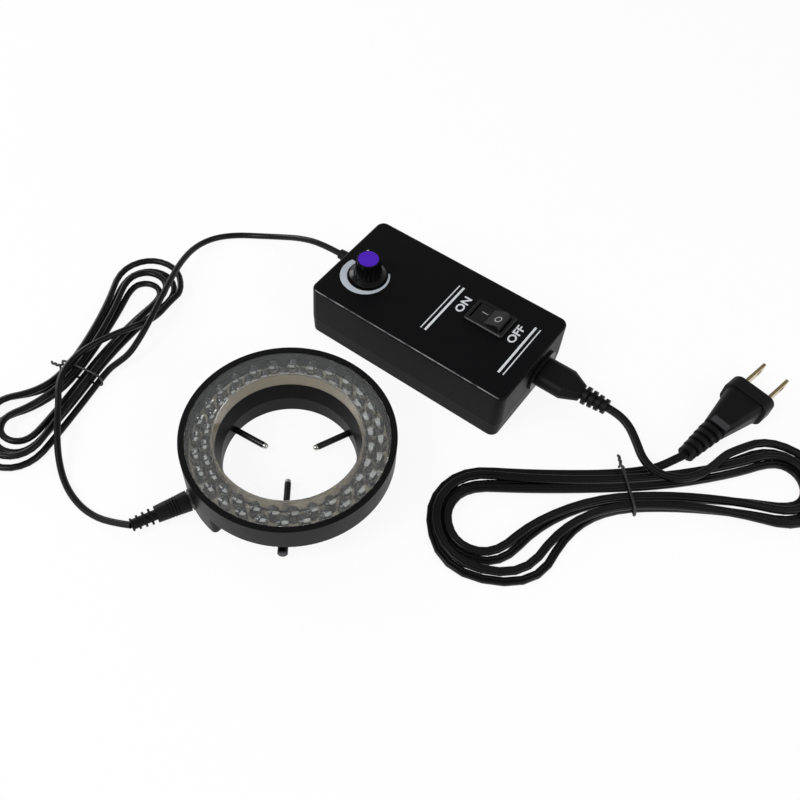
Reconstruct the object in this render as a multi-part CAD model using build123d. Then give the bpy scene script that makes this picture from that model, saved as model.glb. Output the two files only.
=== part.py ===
from build123d import *
import os
from math import atan2, cos, degrees, floor, pi, radians, sin, sqrt, tan

os.makedirs("parts", exist_ok=True)

# A ring light for a microscope with its mains controller, in millimetres.
# +Z is up, the floor is z = 0, and the origin is on the axis of the ring's bore.

# Fits and cuts
slip_gap = 0.1            # between pieces that are pushed together by hand
running_gap = 0.06        # radial gap of a shaft that turns or slides in a hole
plug_gap = 0.3            # between a plug's nose and the socket round it
overrun = 1.0             # how far a cut runs past the face it opens

# Cord runs
run_share = 0.45          # of a run, that the arc at its end takes up
gap_samples = 700         # places along a hank where its gap to itself is measured
gap_apart = 4             # diameters along the cord that two such places lie apart

# Ring light housing
ring_h = 25.7
ring_wall = 2.7
ring_edge_fillet = 0.6
head_bottom_z = 11.8
head_floor = 1.5
bore_d = 61.2
bore_mouth_gap = 0.4      # how much wider the bore's mouth is, all round
bore_flare = 2.4          # how far the bore opens upwards, all round
bore_land_z = 6.2
bore_land_l = 3.3
neck_wall = 3.9
inner_rim_wall = 0.9
inner_rim_z = 17.3
board_post_d = 3.6

# Clear cover over the lamps
cover_t = 0.9
cover_recess = 0.2
cover_lip = 2.4
cover_ledge = 0.8

# Lamp board and lamps
board_t = 1.4
board_post_h = 1.3
lamp_count = 28
lamp_row_gap = 4.25       # between the two rings of lamps, axis to axis
lamp_rim_gap = 0.05       # between the inner lamps and the inner rim
lamp_wall_gap = 0.95      # between the outer lamps and the cover's ledge
lamp_outer_azimuth = 88.6
lamp_d = 5.0
lamp_flange_d = 5.6
lamp_flange_h = 1.0
lamp_h = 8.5
lead_d = 0.5
lead_spacing = 2.54
lead_length = 2.0
lead_hole_d = 0.8
resistor_count = 14
resistor_size = (3.2, 1.6, 0.55)
board_screw_count = 3
board_screw_inset = 2.85  # from the housing's wall
board_screw_d = 1.6
board_screw_head_d = 3.0
board_screw_head_h = 1.2
board_screw_bite = 2.4

# Thumb screws round the neck
screw_z = 4.3
screw_azimuths = (27.9, 147.9, 267.9)
screw_tip_rs = (12.1, 12.1, 10.4)
screw_d = 3.0
screw_length = 37.6
screw_head_d = 4.6
screw_head_l = 10.5
screw_head_chamfer = 0.5
screw_groove_count = 12
screw_groove = 0.5
tip_l = 2.2
tip_pin_d = 1.2
tip_pin_l = 1.6

# Power jack under the ring's rim, and its plug
jack_azimuth = 207.0
jack_z = 6.0
jack_pod_half_angle = 22.0
jack_pod_z = 0.8
jack_pod_wall = 1.5
jack_pod_fillet = 2.2
jack_body_d = 7.2
jack_body_l = 7.95
jack_bush_d = 8.0
jack_bush_out = 1.0
jack_nut_d = 9.8
jack_nut_t = 0.8
jack_pin_d = 2.0
jack_pin_l = 9.2
jack_floor = 1.0
jack_lug = (1.3, 1.8, 0.5)
jack_wire_d = 1.2
barrel_d = 5.5
barrel_bore_d = 2.12
barrel_l = 9.0
barrel_seat = 3.0
plug_front_d = 9.7
plug_rear_d = 7.7
plug_body_l = 15.4
plug_face_gap = 0.1
plug_groove = 0.35
plug_groove_count = 4
plug_groove_spacing = 1.35
plug_groove_start = 5.2
relief_l = 11.5
relief_core_d = 4.8
relief_rib_front_d = 7.5
relief_rib_end_d = 6.0
relief_rib_count = 4
relief_rib_t = 1.0

# Controller case
case_x = 69.945
case_y = 71.088
case_yaw = -38.02
case_l = 110.8
case_w = 59.6
case_h = 30.0
case_part_z = 10.2
case_wall = 2.0
case_corner_r = 4.5
case_top_fillet = 1.4
case_bottom_fillet = 0.8
case_top_draft = 0.9
case_bottom_draft = 3.0
case_seam = 0.15
case_lip_h = 1.4
case_lip_t = 0.9
case_boss_d = 6.4
case_boss_inset = 7.6
case_screw_d = 2.6
case_screw_head_d = 4.8
case_screw_head_h = 1.8
case_screw_bite = 7.0
case_screw_sink = 2.4
case_screw_slot = 0.6
row_v = 7.35              # the line of the switch, the inlet and the low voltage lead

# Brightness knob and its potentiometer
knob_inset = 17.9         # from the case's end
knob_v = -6.0
knob_skirt_d = 18.0
knob_skirt_h = 2.2
knob_top_d = 11.6
knob_waist_d = 14.2
knob_h = 11.2
knob_lift = 0.4
knob_flute_count = 20
knob_flute_d = 1.3
knob_flute_out = 0.3      # how far a flute's axis lies outside the knob's side
knob_cap_d = 10.0
knob_cap_t = 0.8
knob_cap_seat = 0.5
knob_pointer = (1.1, 1.5, 0.3)
knob_pointer_angle = 130.0
knob_bore_l = 8.0
knob_nut_gap = 0.2
pot_d = 16.8
pot_h = 9.0
pot_bush_d = 7.0
pot_bush_l = 4.0
pot_shaft_d = 6.0
pot_shaft_thin_d = 4.5
pot_shaft_seat = 1.5
pot_nut_d = 10.4
pot_nut_t = 1.6
pot_lug = (1.4, 4.0, 0.6)
pot_lug_spacing = 5.0

# Rocker switch
switch_inset = 30.65      # from the case's other end
bezel_l = 21.0
bezel_w = 15.0
bezel_t = 1.6
bezel_r = 1.0
bezel_chamfer = 0.5
switch_body_l = 19.4
switch_body_w = 12.8
switch_body_h = 14.0
switch_wall = 1.0
rocker_w = 10.4
rocker_t = 3.4
rocker_tilt = 11.0
rocker_rise = 1.7
rocker_hub_d = 4.4
rocker_under = 1.1        # how far the rocker's slab reaches below its axis
rocker_pin_d = 2.2
rocker_pin_out = 0.75     # how far a hinge pin stands out from the frame's wall
terminal = (4.8, 0.8, 7.0)
terminal_spacing = 7.0

# Mains inlet and the connector in it
inlet_z = 15.6
socket_w = 15.8
socket_h = 8.2
socket_depth = 9.0
inlet_w = 19.6
inlet_h = 12.4
inlet_l = 14.0
inlet_flange = 1.6
inlet_flange_t = 1.2
contact_spacing = 7.4
contact_pin_d = 2.4
contact_pin_l = 8.0
contact_pin_tail = 5.0
nose_l = 8.6
connector_w = 16.8
connector_h = 8.6
connector_l = 12.6
connector_neck_l = 8.0
connector_gap = 0.4
connector_relief_l = 13.0
connector_relief_w0 = 9.0
connector_relief_w1 = 7.4
connector_core_d = 5.6
connector_rib_count = 4
connector_rib_t = 1.9

# Inside the controller
pcb_end_gap = 7.4         # between the board's ends and the case's walls
pcb_side_gap = 3.8
pcb_t = 1.6
pcb_z = 6.6
pcb_post_d = 5.6
pcb_post_inset_u = 12.0
pcb_post_inset_v = 5.0
pcb_screw_d = 2.2
pcb_screw_head_d = 4.2
pcb_screw_head_h = 1.5
pcb_screw_bite = 3.6
part_gap = 1.2            # between neighbours along the board
core_size = (13.0, 24.0, 13.6)
core_inset = 12.0         # from the board's side, as are the other insets
core_leg_w = 5.0
winding_size = (19.0, 15.0, 9.6)
can_diameters = (10.0, 8.0, 6.3)
can_heights = (14.0, 12.0, 9.0)
can_insets = (8.0, 20.0, 18.0)
can_edge = 0.5
sink_size = (12.0, 3.0, 10.4)
sink_inset = 7.5
sink_fin_count = 5
sink_fin_t = 1.0
sink_fin_gap = 2.4
sink_fin_depth = 5.0
regulator_size = (10.2, 3.4, 9.2)
fuse_d = 5.2
fuse_l = 20.0
fuse_cap_l = 5.0
fuse_inset = 7.0          # from the board's other side
fuse_lift = 1.6
fuse_clip_t = 1.2
fuse_clip_h = 4.2
inner_wire_d = 1.4

# Low voltage lead
gland_z = 17.2
gland_out = 9.5
gland_d = 6.4
gland_end_d = 5.2
gland_flange_d = 8.6
gland_flange_t = 1.5
dc_cord_d = 3.2
dc_hank_x = -103.2
dc_hank_y = 49.6
dc_hank_azimuth = 65.2
dc_hank_front = 81.6
dc_hank_front_bend = 0.0
dc_hank_front_fold = 18.5
dc_hank_back = 64.0
dc_hank_back_bend = 12.0
dc_hank_back_fold = 19.0
dc_hank_waist = 9.5
dc_hank_length_step = 9.0
dc_hank_fold_step = 5.8
dc_hank_waist_step = 4.2
dc_hank_layer = 4.0
dc_hank_start = 0
dc_hank_turn_back = 8
dc_hank_end = 15.5

# Mains lead
mains_cord_d = 3.7
mains_hank_x = 152.5
mains_hank_y = -16.0
mains_hank_azimuth = 183.0
mains_hank_front = 92.0
mains_hank_front_bend = 10.0
mains_hank_front_fold = 26.0
mains_hank_back = 88.0
mains_hank_back_bend = 0.0
mains_hank_back_fold = 21.0
mains_hank_waist = 9.2
mains_hank_length_step = 5.0
mains_hank_fold_step = 6.4
mains_hank_waist_step = 4.6
mains_hank_layer = 4.5
mains_hank_start = -0.5
mains_hank_turn_back = 7
mains_hank_end = 15

# Ties round the hanks
tie_t = 1.1
tie_w = 1.3
tie_gap = 0.3
tie_tail_l = 4.0
tie_tail_d = 1.3
tie_tail_lean = 50.0

# Mains plug
plug_x = 180.4
plug_y = 0.8
plug_azimuth = 40.5
plug_z = 7.4
grip_w0 = 11.0
grip_w1 = 19.5
grip_h0 = 8.0
grip_h1 = 13.4
grip_l = 22.0
grip_start = 21.0
flange_w = 22.5
flange_h = 14.4
flange_l = 8.0
neck_w = 8.0
neck_h = 7.0
neck_core_w = 6.0
neck_core_h = 5.4
neck_rib_count = 5
neck_rib_t = 2.4
blade_w = 6.35
blade_t = 1.5
blade_l = 17.5
blade_spacing = 12.7
blade_root = 6.0
blade_hole_d = 3.1
blade_hole_from_end = 4.0
plug_edge_fillet = 1.6
plug_corner_share = 0.3

# The ring light from its bore outwards
neck_d = bore_d + 2 * neck_wall
bore_mouth_d = bore_d + 2 * bore_mouth_gap
inner_rim_d = bore_d + 2 * bore_flare
lamp_inner_r = inner_rim_d / 2 + inner_rim_wall + lamp_rim_gap + lamp_flange_d / 2
lamp_outer_r = lamp_inner_r + lamp_row_gap
ring_d = 2 * (lamp_outer_r + lamp_flange_d / 2 + lamp_wall_gap + cover_ledge + ring_wall)
board_screw_r = ring_d / 2 - ring_wall - board_screw_inset
jack_body_r0 = ring_d / 2 - ring_wall - slip_gap - jack_body_l

# The controller from its ends inwards
knob_u = knob_inset - case_l / 2
switch_u = case_l / 2 - switch_inset
pcb_l = case_l - 2 * case_wall - 2 * pcb_end_gap
pcb_w = case_w - 2 * case_wall - 2 * pcb_side_gap
first_part_u = pcb_post_inset_u + pcb_screw_head_d / 2 + part_gap - pcb_l / 2
sink_u = first_part_u + sink_size[0] / 2
sink_v = sink_inset - pcb_w / 2
fuse_u = first_part_u + fuse_l / 2
fuse_v = pcb_w / 2 - fuse_inset
cans_u = sink_u + sink_size[0] / 2 + part_gap + can_diameters[0] / 2
core_u = cans_u + can_diameters[0] / 2 + part_gap + winding_size[0] / 2
core_v = core_inset - pcb_w / 2
can_us = (cans_u, cans_u, core_u + winding_size[0] / 2 + part_gap + can_diameters[2] / 2)
can_vs = [inset - pcb_w / 2 for inset in can_insets]

# Routes of the free stretches, chosen by hand in world places
dc_route_in = [
    (13.4, 124.6, 16.9),
    (2.6, 132.6, 12.6),
    (-7.4, 139.4, 6.8),
    (-20.0, 144.4, 2.6),
    (-33.9, 146.3, 1.6),
    (-46.0, 143.2, 2.4),
    (-55.0, 133.2, 6.2),
    (-60.6, 118.6, 10.8),
    (-64.8, 103.0, 13.3),
    (-68.5, 88.8, 13.6),
    (-72.1, 75.8, 13.3),
    (-75.6, 68.3, 10.6),
    (-80.5, 60.1, 6.8),
    (-86.6, 56.0, 4.2),
    (-90.9, 52.7, 3.0),
]
dc_route_out = [
    (-70.1, 83.0, 7.2),
    (-78.3, 76.4, 9.6),
    (-87.7, 70.2, 11.2),
    (-97.2, 64.0, 11.4),
    (-105.0, 57.1, 11.0),
    (-110.0, 48.1, 10.8),
    (-111.3, 38.3, 11.0),
    (-109.4, 28.6, 11.3),
    (-108.2, 18.8, 10.9),
    (-107.4, 8.8, 8.2),
    (-105.6, -1.0, 4.6),
    (-102.2, -10.4, 2.1),
    (-96.8, -18.8, 1.6),
    (-89.2, -26.2, 1.7),
    (-79.0, -31.8, 3.4),
]
mains_route_in = [
    (150.6, 17.4, 15.5),
    (154.5, 11.2, 15.0),
    (156.6, 3.8, 14.2),
    (155.3, -4.4, 13.4),
    (157.6, -12.1, 12.9),
    (163.1, -17.9, 12.9),
    (170.7, -20.6, 12.9),
    (178.7, -19.7, 12.9),
    (186.1, -14.8, 12.9),
    (192.2, -7.2, 12.7),
    (198.5, -0.3, 10.6),
    (203.3, 3.6, 8.4),
]
mains_route_out = [
    (161.6, -4.5, 3.1),
    (168.0, -3.6, 3.8),
    (174.2, -1.6, 5.4),
]


def polar(r, azimuth, z=0.0):
    """A point at a radius and an azimuth about the ring's axis."""
    return Vector(r * cos(radians(azimuth)), r * sin(radians(azimuth)), z)


def post(d, h, x=0.0, y=0.0, z=0.0):
    """An upright round bar standing on z."""
    return Pos(x, y, z) * Cylinder(d / 2, h, align=(Align.CENTER, Align.CENTER, Align.MIN))


def block(size, x=0.0, y=0.0, z=0.0):
    """A box standing on z, centred in plan."""
    return Pos(x, y, z) * Box(*size, align=(Align.CENTER, Align.CENTER, Align.MIN))


def turned(points, axis=Axis.Z):
    """The solid turned from an outline of (radius, height) points about Z."""
    outline = Polyline(*[(r, 0.0, z) for r, z in points], close=True)
    return revolve(make_face(outline), axis=axis)


def along(azimuth, z, shape):
    """Lays a shape that was built along +Z out along a radius of the ring."""
    start = Location((0.0, 0.0, z), (0.0, 0.0, azimuth))
    return start * Rot(0.0, 90.0, 0.0) * shape


def in_case(shape):
    """Places a shape from the case's own frame, where u is its length and v its width."""
    return Location((case_x, case_y, 0.0), (0.0, 0.0, case_yaw)) * shape


def case_point(u, v, z):
    """A place of the case's own frame in the world."""
    c = cos(radians(case_yaw))
    s = sin(radians(case_yaw))
    return Vector(case_x + u * c - v * s, case_y + u * s + v * c, z)


def group(solids):
    """Several separate solids as one node."""
    return Compound(children=list(solids))


def fused(first, *others):
    """One solid from pieces that touch."""
    body = first
    for other in others:
        body = body + other
    return body


def rounded_section(width, height):
    """A flat section with round ends."""
    straight = width - height
    ends = Pos(straight / 2, 0.0) * Circle(height / 2) + Pos(-straight / 2, 0.0) * Circle(height / 2)
    return (Rectangle(straight, height) + ends).face()


# Cords


def turn_at(before, corner, after):
    """The turn of a route at a corner, in degrees."""
    return (corner - before).get_angle(after - corner)


def free_tube(start, route, end, d, name):
    """A cord's free stretch: straight runs joined by arcs as large as the runs allow."""
    points = [Vector(*start)] + [Vector(*p) for p in route] + [Vector(*end)]
    radii = []
    for before, corner, after in zip(points, points[1:], points[2:]):
        shorter = min((corner - before).length, (after - corner).length)
        turn = turn_at(before, corner, after)
        radii.append(run_share * shorter / tan(radians(turn / 2)))
    path = FilletPolyline(*points, radius=radii)
    tube = sweep(Plane(origin=points[0], z_dir=points[1] - points[0]) * Circle(d / 2), path=path)
    runs = [(b - a).length for a, b in zip(points, points[1:])]
    wanted = pi * d * d / 4 * path.length
    print(name, "length", round(path.length, 1), "least radius", round(min(radii), 1),
          "runs", [round(r, 1) for r in runs], "volume share", round(tube.volume / wanted, 4))
    return tube, path.length


def joint_of_arcs(p0, t0, p1, t1, first):
    """The joint of two arcs that leave p0 along t0 and reach p1 along t1.

    The two end tangents and the tangent at the joint meet at control points, and first is the
    distance of the first of them from p0.
    """
    v = p1 - p0
    last = (v.dot(v) / 2 - first * v.dot(t0)) / (v.dot(t1) + first * (1 - t0.dot(t1)))
    q0 = p0 + t0 * first
    q1 = p1 - t1 * last
    return (q0 * last + q1 * first) * (1 / (first + last)), (q1 - q0).normalized()


def across(v, way):
    """The part of a vector that is square to a direction."""
    return v - way * v.dot(way)


def fold_control(tip, tip_way, waist, waist_way, r):
    """The control distance that gives a fold's arc the radius r in plan.

    The fold's arc starts at the tip and meets, from outside, the arc that starts at the waist.
    """
    flat_tip = Vector(tip.X, tip.Y, 0.0)
    flat_waist = Vector(waist.X, waist.Y, 0.0)
    centre = flat_tip + across(flat_waist - flat_tip, tip_way).normalized() * r
    reach = centre - flat_waist
    side = across(reach, waist_way)
    waist_r = (reach.dot(reach) - r * r) / (2 * (r - side.length))
    other = flat_waist - side.normalized() * waist_r
    turn_cos = (flat_tip - centre).dot(other - centre) / (r * (r + waist_r))
    return r * sqrt((1 - turn_cos) / (1 + turn_cos))


class Hank:
    """A cord folded into loops that are drawn in at a waist, on two layers.

    A key point comes every quarter of a loop: the waist, the back tip, the waist on the other
    side and the front tip. The loops step inwards up to the quarter where they turn back, and
    outwards after it, on the other layer.
    """

    def __init__(self, place, azimuth, front, back, waist, steps, layers, turn_back, first_key):
        self.centre = Vector(*place, 0.0)
        self.azimuth = azimuth
        self.front, self.front_bend, self.front_fold = front
        self.back, self.back_bend, self.back_fold = back
        self.waist = waist
        self.length_step, self.fold_step, self.waist_step = steps
        self.z_first, self.z_second = layers
        self.turn_back = turn_back
        self.first_key = first_key

    def world(self, x, y, z):
        """A place of the hank's own frame in the world."""
        a = radians(self.azimuth)
        return self.centre + Vector(x * cos(a) - y * sin(a), x * sin(a) + y * cos(a), z)

    def heading(self, x, y):
        """A direction of the hank's own frame in the world."""
        return (self.world(x, y, 0.0) - self.centre).normalized()

    def inset(self, quarter):
        """How many loops inwards the cord lies at a quarter."""
        if quarter <= self.turn_back:
            return quarter / 4
        return (2 * self.turn_back - quarter) / 4

    def kind(self, quarter):
        """0 and 2 are the two sides of the waist, 1 is the back tip and 3 the front tip."""
        return (quarter + self.first_key) % 4

    def key(self, quarter):
        """The key point of a quarter and the cord's direction there."""
        z = self.z_first if quarter <= self.turn_back else self.z_second
        inset = self.inset(quarter)
        kind = self.kind(quarter)
        side = self.waist - inset * self.waist_step
        if kind == 0:
            return self.world(0.0, -side, z), self.heading(-1.0, 0.0)
        if kind == 2:
            return self.world(0.0, side, z), self.heading(1.0, 0.0)
        tip = (self.back if kind == 1 else self.front) - inset * self.length_step
        a = radians(180.0 - self.back_bend if kind == 1 else self.front_bend)
        return self.world(tip * cos(a), tip * sin(a), z), self.heading(sin(a), -cos(a))

    def fold(self, quarter):
        """The radius of the fold at a tip."""
        outer = self.back_fold if self.kind(quarter) == 1 else self.front_fold
        return outer - self.inset(quarter) * self.fold_step

    def middle(self, quarter):
        """Where the two arcs from one key point to the next meet, and the direction there."""
        p0, t0 = self.key(quarter)
        p1, t1 = self.key(quarter + 1)
        if self.kind(quarter) % 2 == 0:
            first = fold_control(p1, -t1, p0, t0, self.fold(quarter + 1))
            joint, way = joint_of_arcs(p1, -t1, p0, -t0, first)
            return joint, -way
        first = fold_control(p0, t0, p1, -t1, self.fold(quarter))
        return joint_of_arcs(p0, t0, p1, t1, first)

    def arcs(self, first, last):
        """The arcs between two quarters, where a half means the joint of two arcs."""
        edges = []
        quarter = floor(first)
        if first > quarter:
            q, t = self.middle(quarter)
            p1, _ = self.key(quarter + 1)
            edges.append(TangentArc(q, p1, tangent=t))
            quarter += 1
        while quarter + 1 <= last:
            p0, t0 = self.key(quarter)
            q, t = self.middle(quarter)
            p1, _ = self.key(quarter + 1)
            edges.append(TangentArc(p0, q, tangent=t0))
            edges.append(TangentArc(q, p1, tangent=t))
            quarter += 1
        if last > quarter:
            p0, t0 = self.key(quarter)
            q, _ = self.middle(quarter)
            edges.append(TangentArc(p0, q, tangent=t0))
        return edges

    def end(self, quarter):
        """The point and direction at a whole or half quarter."""
        if quarter == floor(quarter):
            return self.key(quarter)
        return self.middle(floor(quarter))


def least_gap(points, d, skip):
    """The least gap between parts of a tube that are further apart along it than skip points."""
    return min((p - q).length for i, p in enumerate(points) for q in points[i + skip:]) - d


def hank_tube(hank, first, last, d, name):
    """The hank as one unbroken tube whose two ends run straight for one diameter."""
    start, start_way = hank.end(first)
    finish, finish_way = hank.end(last)
    outer_start = start - start_way * d
    outer_finish = finish + finish_way * d
    edges = [Line(outer_start, start)] + hank.arcs(first, last) + [Line(finish, outer_finish)]
    path = Wire(edges)
    tube = sweep(Plane(origin=outer_start, z_dir=start_way) * Circle(d / 2), path=path)
    samples = [path.position_at(i / gap_samples) for i in range(gap_samples + 1)]
    skip = int(gap_apart * d / path.length * gap_samples) + 1
    print(name, "length", round(path.length, 1), "least gap to itself", round(least_gap(samples, d, skip), 2),
          "volume share", round(tube.volume / (pi * d * d / 4 * path.length), 4))
    return tube, outer_start, outer_finish, path.length


# Ring light pieces


def ring_housing():
    """The black housing: a neck with a flared bore under a wide channel for the lamp board."""
    r_out = ring_d / 2
    r_in = r_out - ring_wall
    floor_z = head_bottom_z + head_floor
    ledge_z = ring_h - cover_recess - cover_t - cover_lip
    rim_r = inner_rim_d / 2
    body = turned([
        (bore_mouth_d / 2, 0.0),
        (neck_d / 2, 0.0),
        (neck_d / 2, head_bottom_z),
        (r_out, head_bottom_z),
        (r_out, ring_h),
        (r_in, ring_h),
        (r_in, ledge_z),
        (r_in - cover_ledge, ledge_z),
        (r_in - cover_ledge, floor_z),
        (rim_r + inner_rim_wall, floor_z),
        (rim_r + inner_rim_wall, inner_rim_z),
        (rim_r, inner_rim_z),
        (bore_d / 2, bore_land_z + bore_land_l),
        (bore_d / 2, bore_land_z),
        (bore_mouth_d / 2, bore_land_z),
    ])
    outer_low = [e for e in body.edges().filter_by(GeomType.CIRCLE)
                 if abs(e.radius - r_out) < slip_gap and abs(e.center().Z - head_bottom_z) < slip_gap]
    return fillet(outer_low, ring_edge_fillet)


def wedge(half_angle):
    """The wedge about +X that cuts a sector out of the ring."""
    corners = [(0.0, 0.0), polar(ring_d, -half_angle), polar(ring_d, half_angle)]
    return extrude(make_face(Polyline(*corners, close=True)), ring_h)


def jack_pod():
    """The pod under the rim that holds the power jack, before it is hollowed."""
    r_out = ring_d / 2
    sector = turned([
        (neck_d / 2 - head_floor, jack_pod_z),
        (r_out, jack_pod_z),
        (r_out, head_bottom_z + head_floor),
        (neck_d / 2 - head_floor, head_bottom_z + head_floor),
    ])
    pod = sector & wedge(jack_pod_half_angle)
    corners = [e for e in pod.edges().filter_by(Axis.Z)
               if Vector(e.center().X, e.center().Y, 0.0).length > neck_d / 2]
    pod = fillet(corners, jack_pod_fillet)
    return Rot(0.0, 0.0, jack_azimuth) * pod


def jack_pod_room():
    """The room inside the pod, open upwards into the channel."""
    sector = turned([
        (neck_d / 2 + slip_gap, jack_pod_z + jack_pod_wall),
        (ring_d / 2 - ring_wall, jack_pod_z + jack_pod_wall),
        (ring_d / 2 - ring_wall, head_bottom_z + head_floor + overrun),
        (neck_d / 2 + slip_gap, head_bottom_z + head_floor + overrun),
    ])
    half = jack_pod_half_angle - degrees(jack_pod_wall / (neck_d / 2)) - degrees(jack_pod_fillet / ring_d)
    return Rot(0.0, 0.0, jack_azimuth) * (sector & wedge(half))


def board_screw_azimuths():
    """Midway between two outer lamps, evenly round the ring."""
    pitch = 360 / lamp_count
    first = lamp_outer_azimuth + pitch / 2
    every = lamp_count / board_screw_count
    return [first + pitch * round(every * i) for i in range(board_screw_count)]


def housing_complete():
    """The housing with its pod, board posts and holes."""
    body = fused(ring_housing(), jack_pod()) - jack_pod_room()
    floor_z = head_bottom_z + head_floor
    for azimuth in board_screw_azimuths():
        p = polar(board_screw_r, azimuth)
        rib_l = ring_d / 2 - ring_wall / 2 - board_screw_r
        rib = Pos(board_screw_r, 0.0, floor_z) * Box(
            rib_l, board_post_d, board_post_h, align=(Align.MIN, Align.CENTER, Align.MIN))
        body = body + post(board_post_d, board_post_h, p.X, p.Y, floor_z) + Rot(0.0, 0.0, azimuth) * rib
    for azimuth in board_screw_azimuths():
        p = polar(board_screw_r, azimuth)
        depth = board_screw_bite
        body = body - post(board_screw_d + slip_gap, depth, p.X, p.Y, floor_z + board_post_h - depth)
    for azimuth in screw_azimuths:
        hole = Pos(0, 0, bore_d / 2 - ring_wall) * Cylinder(
            screw_d / 2 + running_gap, neck_d / 2 - bore_d / 2 + 2 * ring_wall,
            align=(Align.CENTER, Align.CENTER, Align.MIN))
        body = body - along(azimuth, screw_z, hole)
    wall_hole = Pos(0, 0, ring_d / 2 - 2 * ring_wall) * Cylinder(
        jack_bush_d / 2 + running_gap, 3 * ring_wall, align=(Align.CENTER, Align.CENTER, Align.MIN))
    body = body - along(jack_azimuth, jack_z, wall_hole)
    seat = Pos(0, 0, jack_seat_r()) * Cylinder(
        jack_nut_d / 2 + slip_gap, ring_wall, align=(Align.CENTER, Align.CENTER, Align.MIN))
    return body - along(jack_azimuth, jack_z, seat)


def jack_seat_r():
    """The radius of the flat that the jack's nut bears on."""
    half_nut = jack_nut_d / 2 + slip_gap
    return sqrt((ring_d / 2) ** 2 - half_nut ** 2)


def ring_cover():
    """The clear channel over the lamps."""
    top = ring_h - cover_recess
    under = top - cover_t
    r_out = ring_d / 2 - ring_wall - slip_gap
    r_in = inner_rim_d / 2
    return turned([
        (r_in, inner_rim_z),
        (r_in + inner_rim_wall - slip_gap, inner_rim_z),
        (r_in + inner_rim_wall - slip_gap, under),
        (r_out - cover_ledge, under),
        (r_out - cover_ledge, under - cover_lip),
        (r_out, under - cover_lip),
        (r_out, top - slip_gap),
        (r_out - slip_gap, top),
        (r_in + slip_gap, top),
        (r_in, top - slip_gap),
    ])


def board_top():
    """The height of the lamp board's upper face."""
    return head_bottom_z + head_floor + board_post_h + board_t


def lamp_places():
    """The places of the lamps, in two rings that are staggered by half a pitch."""
    pitch = 360 / lamp_count
    places = []
    for i in range(lamp_count):
        places.append((lamp_outer_r, lamp_outer_azimuth + i * pitch))
        places.append((lamp_inner_r, lamp_outer_azimuth + (i + 0.5) * pitch))
    return places


def led_board():
    """The lamp board with a pair of holes for each lamp."""
    r_in = inner_rim_d / 2 + inner_rim_wall + 2 * slip_gap
    r_out = ring_d / 2 - ring_wall - cover_ledge - 2 * slip_gap
    z0 = board_top() - board_t
    board = turned([(r_in, z0), (r_out, z0), (r_out, z0 + board_t), (r_in, z0 + board_t)])
    holes = []
    for r, azimuth in lamp_places():
        for side in (-1, 1):
            p = polar(r, azimuth) + polar(side * lead_spacing / 2, azimuth + 90)
            holes.append(post(lead_hole_d, board_t + 2 * overrun, p.X, p.Y, z0 - overrun))
    for azimuth in board_screw_azimuths():
        p = polar(board_screw_r, azimuth)
        holes.append(post(board_screw_d + 2 * slip_gap, board_t + 2 * overrun, p.X, p.Y, z0 - overrun))
    return board - holes


def lamp():
    """One clear lamp with its two leads, standing on z = 0."""
    r = lamp_d / 2
    straight = lamp_h - r
    profile = Polyline(
        (0.0, 0.0, 0.0),
        (lamp_flange_d / 2, 0.0, 0.0),
        (lamp_flange_d / 2, 0.0, lamp_flange_h),
        (r, 0.0, lamp_flange_h),
        (r, 0.0, straight),
    )
    halfway = (r * cos(pi / 4), 0.0, straight + r * sin(pi / 4))
    profile = profile + ThreePointArc((r, 0.0, straight), halfway, (0.0, 0.0, lamp_h))
    profile = profile + Line((0.0, 0.0, lamp_h), (0.0, 0.0, 0.0))
    body = revolve(make_face(profile), axis=Axis.Z)
    for side in (-1, 1):
        body = body + post(lead_d, lead_length + lamp_flange_h / 2, 0.0, side * lead_spacing / 2, -lead_length)
    return body


def lamps():
    """All the lamps on the board."""
    one = lamp()
    solids = []
    for r, azimuth in lamp_places():
        p = polar(r, azimuth, board_top())
        solids.append(Location((p.X, p.Y, p.Z), (0.0, 0.0, azimuth)) * one)
    return group(solids)


def board_resistors():
    """Chip resistors on the underside of the lamp board."""
    middle = (lamp_inner_r + lamp_outer_r) / 2
    pitch = 360 / resistor_count
    z = board_top() - board_t - resistor_size[2]
    solids = []
    for i in range(resistor_count):
        azimuth = lamp_outer_azimuth + 90 / lamp_count + i * pitch
        p = polar(middle, azimuth, z)
        chip = Box(resistor_size[1], resistor_size[0], resistor_size[2],
                   align=(Align.CENTER, Align.CENTER, Align.MIN))
        solids.append(Location((p.X, p.Y, p.Z), (0.0, 0.0, azimuth)) * chip)
    return group(solids)


def board_screws():
    """The screws that hold the lamp board to its posts."""
    solids = []
    for azimuth in board_screw_azimuths():
        p = polar(board_screw_r, azimuth)
        bite = board_screw_bite - slip_gap
        shank = post(board_screw_d, board_t + bite, p.X, p.Y, board_top() - board_t - bite)
        head = post(board_screw_head_d, board_screw_head_h, p.X, p.Y, board_top())
        solids.append(fused(shank, head))
    return group(solids)


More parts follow.
